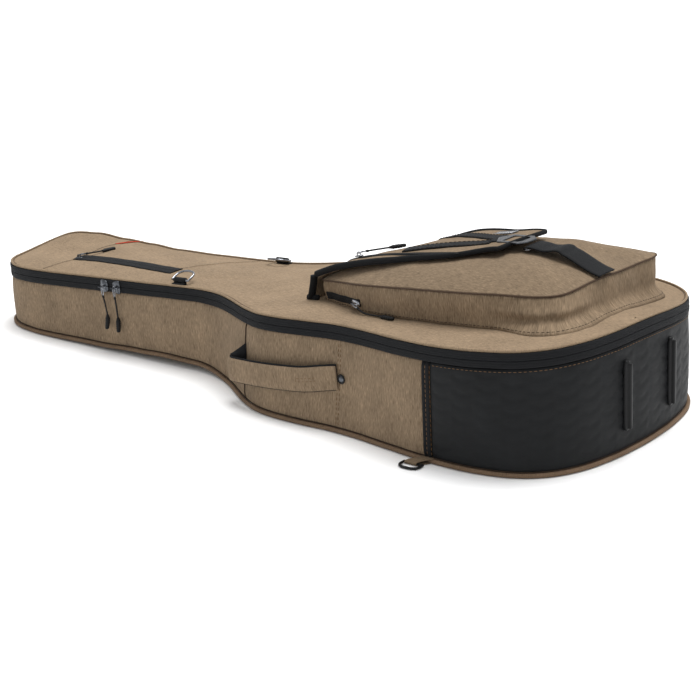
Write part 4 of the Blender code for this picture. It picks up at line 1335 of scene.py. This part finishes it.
def handle_path(out):
    """The strap's line, lifted a little at the tail end; out moves it away from the wall."""
    slope = (HANDLE_TAIL.z - HANDLE_HEAD.z) / (HANDLE_TAIL.x - HANDLE_HEAD.x)
    path = catmull_rom(HANDLE_ROUTE, steps=8)
    made = []
    for i, spot in enumerate(path):
        way = way_at(path, i)
        place = spot + Vector((way.y, -way.x)) * out
        hang = HANDLE_HEAD.z + slope * (place.x - HANDLE_HEAD.x) + 0.0045 * smooth((place.x - 0.15) / 0.06)
        made.append(Vector((place.x, place.y, hang)))
    return made


def handle():
    """A padded strap with a tan outside and a black lining, sewn to the wall at both ends."""
    w, t = 0.0170, 0.0017
    pad = [(-t, -w * 0.90), (-t * 0.2, -w), (t * 0.8, -w * 0.96), (t * 1.5, -w * 0.7), (t * 1.8, 0.0),
           (t * 1.5, w * 0.7), (t * 0.8, w * 0.96), (-t * 0.2, w), (-t, w * 0.90)]

    def narrow(share):
        return 1.0 - 0.10 * smooth(1.0 - share / 0.30)

    outer = sweep("handle_pad", handle_path(0.0), pad, fixed=True, scale=narrow)
    piece(outer, CANVAS, "handle", ["handle_strap"])
    w, low = 0.0196, 0.0180
    back = [(-0.0034, -low * 0.86), (-0.0026, -low * 0.97), (-0.0008, -low), (-0.0006, -low * 0.9),
            (-0.0006, w * 0.9), (-0.0008, w), (-0.0026, w * 0.97), (-0.0034, w * 0.86)]
    inner = sweep("handle_black_lining", handle_path(0.0), back, fixed=True, scale=narrow)
    piece(inner, WEB, "handle", ["handle_lining"])
    rows = []
    for k in range(9):
        t = k / 8
        x = 0.0335 - 0.0265 * t
        y = -0.1660 - 0.0030 * sin(pi * t) - 0.0035 * t
        top = HANDLE_HEAD.z + w * 0.9 + 0.0190 * (1.0 - t) ** 1.2
        middle = Vector((x, y - 0.0006, HANDLE_HEAD.z + w * 0.5))
        rows.append([Vector((x, y, HANDLE_HEAD.z - 0.010)), middle, Vector((x, y, top))])
    leg = thicken(grid("handle_back_leg", rows), 0.0018)
    piece(leg, WEB, "handle")
    face = handle_path(0.0029)
    centre = [p for p in face if 0.150 < p.x < 0.186]
    aside = Vector((0.0, 0.0, 0.0022))
    box = [p + aside for p in centre] + [p - aside for p in reversed(centre)]
    piece(stitches("handle_stitch_box", box + box[:1]), THREAD_TAN, "handle")
    stud()


STUD_X, STUD_Z = 0.2225, 0.0755


def stud():
    """The domed rivet on its washer, beside the handle's tail end."""
    s = BAG.place(STUD_X)
    share = (STUD_Z - WALL_LOW) / (split(STUD_X) - ZIP_HALF - GAP - WALL_LOW)
    spot = wall_point(s, share, 0.0016)
    out = BAG.normal(s)
    at = pose_of(spot, BAG.along(s).to_3d(), out.to_3d())
    dome = [(0.0014, -0.0012), (0.0003, -0.0010), (0.0, 0.0), (0.0004, 0.0008), (0.0013, 0.0015),
            (0.0026, 0.0021), (0.0040, 0.0024)]
    cap = moved(lofted("stud_cap", superellipse(0.0100, 0.0100, 2.0, 24), dome), at)
    piece(cap, GUNMETAL, "shell", ["handle_stud"])
    ring = [(x, y, 0.0002) for x, y in circle(0.0061, 24)]
    washer = moved(tube("stud_washer", ring, 0.0009, closed=True, sides=8), at)
    piece(washer, RUBBER, "shell")


# ---------------------------------------------------------------- rails and rings
RAIL_Y, RAIL_Z = 0.056, 0.0805
RAIL_WIDTH, RAIL_LENGTH = 0.0120, 0.0950


def rails():
    """The two raised rails on the bumper's end."""
    for side, y in (("near", -RAIL_Y), ("far", RAIL_Y)):
        at = pose_of((TAIL_END + 0.0004, y, RAIL_Z), (0, 0, 1), (1, 0, 0))
        steps = [(0.0, -0.0060), (0.0, 0.0008), (0.0008, 0.0018), (0.0024, 0.0020), (0.0030, 0.0030),
                 (0.0030, 0.0058), (0.0036, 0.0068), (0.0048, 0.0072)]
        rail = lofted("rail_" + side, superellipse(RAIL_WIDTH, RAIL_LENGTH, 5.0, 44), steps)
        piece(moved(rail, at), RUBBER, "shell", ["bumper_rail_" + side])


def d_ring(width, depth):
    """A D with rounded corners, its bar along X."""
    count, corner = 40, 0.42
    points = []
    for k in range(count + 1):
        angle = pi * k / count
        y = depth * abs(sin(angle)) ** corner if 0 < k < count else 0.0
        points.append(Vector((width / 2 * cos(angle), y, 0.0)))
    return points


def rear_rings():
    """Flat rings at the floor, each held by a folded tab that leans towards the head."""
    fold = [(0.0, 0.2040, 0.0046), (0.25, 0.2140, 0.0064), (0.55, 0.2230, 0.0062), (0.85, 0.2300, 0.0054),
            (1.0, 0.2350, 0.0042), (1.02, 0.2362, 0.0024), (1.0, 0.2345, 0.0006), (0.70, 0.2260, 0.0008),
            (0.25, 0.2120, 0.0010)]
    for side, sign in (("near", -1), ("far", 1)):
        path = [Vector((REAR_RING_X + p.x, sign * (0.2330 + p.y), 0.0021)) for p in d_ring(0.030, 0.017)]
        ring = tube("rear_d_ring_" + side, path, 0.0018, closed=True, sides=10)
        piece(ring, RUBBER, "rear_ring_" + side, ["rear_ring_" + side])
        rows = []
        for k in range(9):
            middle = 0.3890 + 0.0095 * (k / 4 - 1)
            rows.append([Vector((middle - 0.0190 * reach, sign * y, z)) for reach, y, z in fold])
        tab = thicken(grid("ring_tab_cloth_" + side, rows), 0.0008, 0.0)
        piece(tab, TRIM, "shell", ["ring_tab_" + side])


def front_rings():
    """The rings beside the neck, each held by a roll of webbing."""
    for side, sign, x, lean in (("near", -1, -0.1610, radians(23.0)), ("far", 1, -0.1110, radians(14.0))):
        bar = Vector((x, sign * 0.0880, 0.0190))
        path = [bar + Vector((p.x, -sign * p.y * cos(lean), p.y * sin(lean))) for p in d_ring(0.033, 0.022)]
        ring = tube("front_d_ring_" + side, [settle(on_lid(p)) for p in path], 0.0017, closed=True, sides=12)
        piece(ring, NICKEL, "front_ring_" + side, ["front_ring_" + side])
        shares = (-1, -0.85, -0.4, 0.0, 0.4, 0.85, 1)
        rolled = [settle(on_lid((x + 0.0125 * t, bar.y, bar.z))) for t in shares]
        roll = sweep("ring_roll_" + side, rolled, circle(0.0044, 14, 0.9),
                     scale=lambda t: round_ends(t, 0.10))
        piece(roll, WEB, "lid", ["ring_keeper_" + side])
        line = [(x + along, sign * 0.0915) for along in (-0.0110, 0.0, 0.0110)]
        foot = strip_on("ring_foot_" + side, line, 0.0100, lid_point, 0.0016, 0.0028, across=5)
        piece(foot, WEB, "lid")


# ---------------------------------------------------------------- zip sliders and pulls
def slider(name, at, skin, body, nodes, size):
    """A zip slider: its body along local X, a bridge over it along Z."""
    length, width, high = size
    shape = []
    for x, y in superellipse(width, length, 4.0, 28):
        shape.append((x, y * (1.0 - 0.22 * smooth((x / length) + 0.5))))
    low = -high / 2
    steps = [(0.0006, low), (0.0, low + 0.0004), (0.0, low + 0.0014), (0.0007, low + 0.0020)]
    body_piece = lofted(name + "_body", shape, steps)
    foot = low + 0.0016
    arch = [(-length * 0.32, 0, foot), (-length * 0.30, 0, high * 0.40), (-length * 0.16, 0, high * 0.62),
            (length * 0.10, 0, high * 0.62), (length * 0.26, 0, high * 0.42), (length * 0.33, 0, foot)]
    bridge = sweep(name + "_bridge", catmull_rom(arch, steps=5), strap_section(width * 0.34, 0.0010),
                   up=(0, 1, 0))
    made = joined(name + "_metal", [body_piece, bridge])
    return piece(moved(made, at), skin, body, nodes)


def pull(name, at, start, route, body, node, skin, grip=0.026, loop=0.0100):
    """A wire link, a cord and a ribbed grip along a route of local points."""
    line = Route([at @ Vector(p) for p in route], steps=8)
    link_end = line.at(loop)
    begin = at @ Vector(start)
    way = (link_end - begin).normalized()
    side = way.orthogonal().normalized() if abs(way.z) > 0.95 else way.cross(Vector((0, 0, 1))).normalized()
    if abs(way.z) > 0.7:
        side = (at.to_3x3() @ Vector((1, 0, 0))).normalized()
    ring = []
    for k in range(20):
        angle = 2 * pi * k / 20
        middle = (begin + link_end) / 2
        half = (link_end - begin).length / 2
        ring.append(middle + way * (half * cos(angle)) + side * (0.0021 * sin(angle)))
    link = tube(name + "_link", ring, 0.00075, closed=True, sides=8)
    piece(link, skin, body, [node])
    total = line.length
    path = [line.at(s) for s in line.spots(loop - 0.0012, total - grip + 0.001, 0.003)]
    cord = tube(name + "_cord", path, 0.0013, sides=8)
    piece(cord, GRIP, body)
    knot = [line.at(loop - 0.0010), line.at(loop + 0.0006), line.at(loop + 0.0034), line.at(loop + 0.0048)]
    piece(tube(name + "_knot", knot, 0.0018, scale=lambda t: round_ends(t, 0.3)), GRIP, body)
    count = 40
    path = [line.at(total - grip + grip * k / count) for k in range(count + 1)]

    def ribs(share):
        swell = 0.62 + 0.38 * smooth(share / 0.28) - 0.16 * smooth((share - 0.55) / 0.45)
        rib = 0.09 * (1 if int(share * 13) % 2 else 0) if 0.18 < share < 0.88 else 0.0
        return (swell + rib) * round_ends(share, 0.05)

    handle_grip = sweep(name + "_grip", path, circle(0.0036, 12, 0.76), scale=ribs)
    return piece(handle_grip, GRIP, body)


def main_sliders():
    """The main zip's two sliders, back to back at the neck, with their pulls hanging down."""
    face = NECK_HALF + 0.0005
    for side, x, turned, drop, end, lean in (("head", -0.3115, 0.0, -0.0420, -0.0670, 0.0045),
                                             ("tail", -0.2855, pi, -0.0450, -0.0700, 0.0010)):
        at = Matrix.Translation((x, -face - 0.0036, split(x))) @ Matrix.Rotation(-TILT, 4, "Y")
        turn = at @ Matrix.Rotation(pi / 2, 4, "X") @ Matrix.Rotation(turned, 4, "Z")
        body = "main_slider_" + side
        slider("main_zip_slider_" + side, turn, GUNMETAL, body, [body],
               (0.0150, 0.0220, 0.0066))
        route = [(0.0, -0.0040, -0.0020), (lean * 0.2, -0.0046, -0.0120), (lean * 0.5, -0.0036, -0.0240),
                 (lean, -0.0034, drop), (lean, -0.0040, drop - 0.010), (lean * 0.3 - 0.001, -0.0042, end)]
        pull("main_zip_pull_" + side, at, (0.0, -0.0030, 0.0030), route, "main_pull_" + side,
             "main_pull_" + side, NICKEL, 0.0240, 0.0120)


def matrix_of(x_axis, y_axis, z_axis, origin):
    made = Matrix((Vector(x_axis), Vector(y_axis), Vector(z_axis))).transposed().to_4x4()
    made.translation = Vector(origin)
    return made


def lying_route(start, heading, length, rise, bend=0.0):
    step = Vector((cos(heading), sin(heading), 0.0))
    aside = Vector((-step.y, step.x, 0.0))
    return [Vector(start) + step * (length * s) + aside * (bend * sin(pi * s)) + Vector((0, 0, rise * s))
            for s in (0.0, 0.2, 0.4, 0.6, 0.8, 1.0)]


def other_sliders():
    """The sliders and pulls of the pocket's side zip, the flap's zip and the document pocket."""
    out = matrix_of((0.93876, -0.33986, 0.05689), (0.33923, 0.94048, 0.02056), (-0.06049, 0.0, 0.99817),
                    (0.19922, -0.12194, 0.15731))
    turn = out @ Matrix.Translation((0.0, -0.0010, 0.0035)) @ Matrix.Rotation(pi / 2, 4, "X")
    slider("pocket_zip_slider", turn, NICKEL, "pocket_slider", ["pocket_slider"],
           (0.0180, 0.0100, 0.0050))
    route = [(0.0020, -0.0050, 0.0035), (0.0140, -0.0048, -0.0005), (0.0264, -0.0040, -0.0046),
             (0.0440, -0.0010, -0.0050), (0.0601, 0.0035, -0.0050), (0.0815, 0.0080, -0.0050)]
    pull("pocket_zip_pull", out, route[0], route, "pocket_pull", "pocket_pull", NICKEL)

    flap_at = matrix_of((0.91252, -0.31896, 0.25607), (0.32497, 0.94552, 0.01969),
                        (-0.2484, 0.06525, 0.96646), (0.1532, -0.053, 0.20664))
    slider("flap_zip_slider", flap_at, NICKEL, "flap_slider", ["flap_slider"],
           (0.0150, 0.0095, 0.0048))
    route = lying_route((0.0010, 0.0, 0.0034), radians(45.0), 0.068, -0.0020, 0.003)
    pull("flap_zip_pull", flap_at, route[0], route, "flap_pull", "flap_pull", NICKEL)

    head_at = LID @ Matrix.Translation((-0.4408, -0.0281, 0.0186))
    slider("head_zip_slider", head_at, GUNMETAL, "head_slider", ["head_slider"],
           (0.0130, 0.0090, 0.0042))
    route = lying_route((-0.0010, 0.0020, 0.0034), radians(72.0), 0.063, -0.0020, -0.004)
    pull("head_zip_pull", head_at, route[0], route, "head_pull", "head_pull", GUNMETAL)


# ---------------------------------------------------------------- inside
def inside():
    """The padded lining of the tray."""
    spots = BAG.spots(0.0, BAG.length, 0.008)[:-1]
    steps = [(-0.0022, 1.0, -0.0010), (-0.0040, 1.0, 0.0), (-0.0080, 1.0, 0.0002), (-0.0112, 1.0, -0.0008),
             (-0.0126, 1.0, -0.0030), (-0.0126, 0.80, 0.0), (-0.0130, 0.55, 0.0), (-0.0130, 0.30, 0.0),
             (-0.0130, 0.08, 0.0), (-0.0150, 0.0, 0.0020), (-0.0200, 0.0, 0.0016)]
    rows = []
    for out, share, lift in steps:
        row = []
        for s in spots:
            spot = BAG.at(s, out)
            top = split(spot.x) - 0.0012
            quilt = 0.0006 * ripple(s, share, 2.0, 0.03) if 0.05 < share < 0.9 else 0.0
            spot = BAG.at(s, out + quilt)
            z = BACK_THICKNESS + (top - BACK_THICKNESS) * share + lift
            row.append(settle(Vector((spot.x, spot.y, z))))
        rows.append(row)
    wall = grid("wall_lining_cloth", rows, closed=True)
    piece(thicken(wall, 0.0008), LINING, "shell", ["wall_foam_near", "wall_foam_far"])
    rows = []
    for s in [BAG.length / 2 * k / 110 for k in range(1, 110)]:
        near = BAG.at(s, -0.0160)
        rows.append([Vector((near.x, -near.y * (2 * k / 20 - 1), BACK_THICKNESS + 0.0012
                             + 0.0005 * ripple(near.x, near.y * k, 0.0, 0.04))) for k in range(21)])
    floor = grid("floor_lining_cloth", rows, flat_uv=lambda p: (p.y, p.x))
    piece(thicken(floor, 0.0010), LINING, "shell", ["floor_lining"])
    cradle()


CRADLE_X = -0.300


def cradle():
    """The foam rest for the neck, and its strap."""
    half, height = 0.074, 0.058
    groove, groove_floor, radius = 0.036, 0.022, 0.016
    profile = [(-half, 0.0), (half, 0.0), (half, height - 0.004), (half - 0.004, height),
               (groove + 0.004, height), (groove, height - 0.004)]
    for k in range(7):
        angle = pi / 2 * k / 6
        profile.append((groove - radius + radius * cos(angle), groove_floor + radius - radius * sin(angle)))
    profile += [(-y, z) for y, z in reversed(profile[4:])]
    profile += [(-half + 0.004, height), (-half, height - 0.004)]
    seen, shape = set(), []
    for place in profile:
        key = (round(place[0], 5), round(place[1], 5))
        if key not in seen:
            seen.add(key)
            shape.append(place)
    rest = extruded("cradle_pad", shape, -0.030, 0.030)
    upright = Matrix.Rotation(pi / 2, 4, "Z") @ Matrix.Rotation(pi / 2, 4, "X")
    at = Matrix.Translation((CRADLE_X, 0.0, BACK_THICKNESS + 0.0021)) @ upright
    rounded(moved(rest, at), 0.003, 3)
    piece(rest, LINING, "shell", ["neck_cradle"])
    top = BACK_THICKNESS + 0.0024 + height
    path = [(CRADLE_X, y, top + 0.0008 + (0.0006 if abs(y) < 0.03 else 0.0)) for y in
            (-0.065, -0.060, -0.045, -0.030, -0.015, 0.0, 0.015, 0.030, 0.045, 0.060, 0.065)]
    strap = sweep("cradle_webbing", catmull_rom(path, steps=4), strap_section(0.025, 0.0014), fixed=True)
    piece(strap, WEB, "shell", ["cradle_strap"])


# ---------------------------------------------------------------- stage
CAMERA_LENS = 97.606
CAMERA_PLACE = (1.74923976, -2.04221649, 0.90265267)
CAMERA_RIGHT = Vector((0.78326417, 0.62031014, -0.04138319))
CAMERA_UP = Vector((-0.16248495, 0.26851227, 0.94947343))
CAMERA_AHEAD = Vector((-0.6000799, 0.73696438, -0.3111071))


def camera():
    """A long lens, low on the tail's near side."""
    data = bpy.data.cameras.new("camera")
    data.sensor_width = 36.0
    data.lens = CAMERA_LENS
    data.clip_end = 50.0
    obj = bpy.data.objects.new("camera", data)
    bpy.context.scene.collection.objects.link(obj)
    obj.matrix_world = Matrix((CAMERA_RIGHT, CAMERA_UP, -CAMERA_AHEAD)).transposed().to_4x4()
    obj.location = CAMERA_PLACE
    bpy.context.scene.camera = obj


def floor():
    """A plain pale floor."""
    side = 40.0
    ring = [Vector((side * x, side * y, -0.0002)) for x, y in ((-1, -1), (1, -1), (1, 1), (-1, 1))]
    obj = mesh_object("floor", ring, [(0, 1, 2, 3)])
    shade = Shade("floor_paper", 1.0, specular=0.0)
    grain = shade.noise("Object", (40.0, 40.0, 40.0), 2.0)
    shade.colour(grain, [(0.3, (0.90, 0.90, 0.90)), (0.7, (0.92, 0.92, 0.92))])
    obj.data.materials.append(shade.material)


SKY_STRENGTH = 0.62
SUN_STRENGTH = 3.5


def sky():
    """White at the horizon and dimmer overhead, so that the sun shapes the cloth."""
    world = bpy.data.worlds.new("studio")
    bpy.context.scene.world = world
    world.use_nodes = True
    nodes, links = world.node_tree.nodes, world.node_tree.links
    split_axes = nodes.new("ShaderNodeSeparateXYZ")
    links.new(nodes.new("ShaderNodeTexCoord").outputs["Generated"], split_axes.inputs[0])
    spread = nodes.new("ShaderNodeMapRange")
    for name, value in (("From Min", 0.03), ("From Max", 0.20), ("To Min", 1.05), ("To Max", SKY_STRENGTH)):
        spread.inputs[name].default_value = value
    links.new(split_axes.outputs["Z"], spread.inputs["Value"])
    background = nodes["Background"]
    background.inputs["Color"].default_value = (1.0, 1.0, 1.0, 1.0)
    links.new(spread.outputs["Result"], background.inputs["Strength"])


def studio():
    """Camera, floor, sky and one broad sun."""
    camera()
    floor()
    sky()
    data = bpy.data.lights.new("sun", "SUN")
    data.energy = SUN_STRENGTH
    data.angle = radians(38.0)
    obj = bpy.data.objects.new("sun", data)
    bpy.context.scene.collection.objects.link(obj)
    obj.rotation_euler = Vector((-0.02, -0.26, -1.0)).to_track_quat("-Z", "Y").to_euler()
    bpy.context.scene.view_settings.view_transform = "Standard"


studio()
walls()
base()
main_zip()
lid()
head_pocket()
pocket()
riser()
flap()
buckle()
tail_strap()
handle()
rails()
rear_rings()
front_rings()
main_sliders()
other_sliders()
inside()
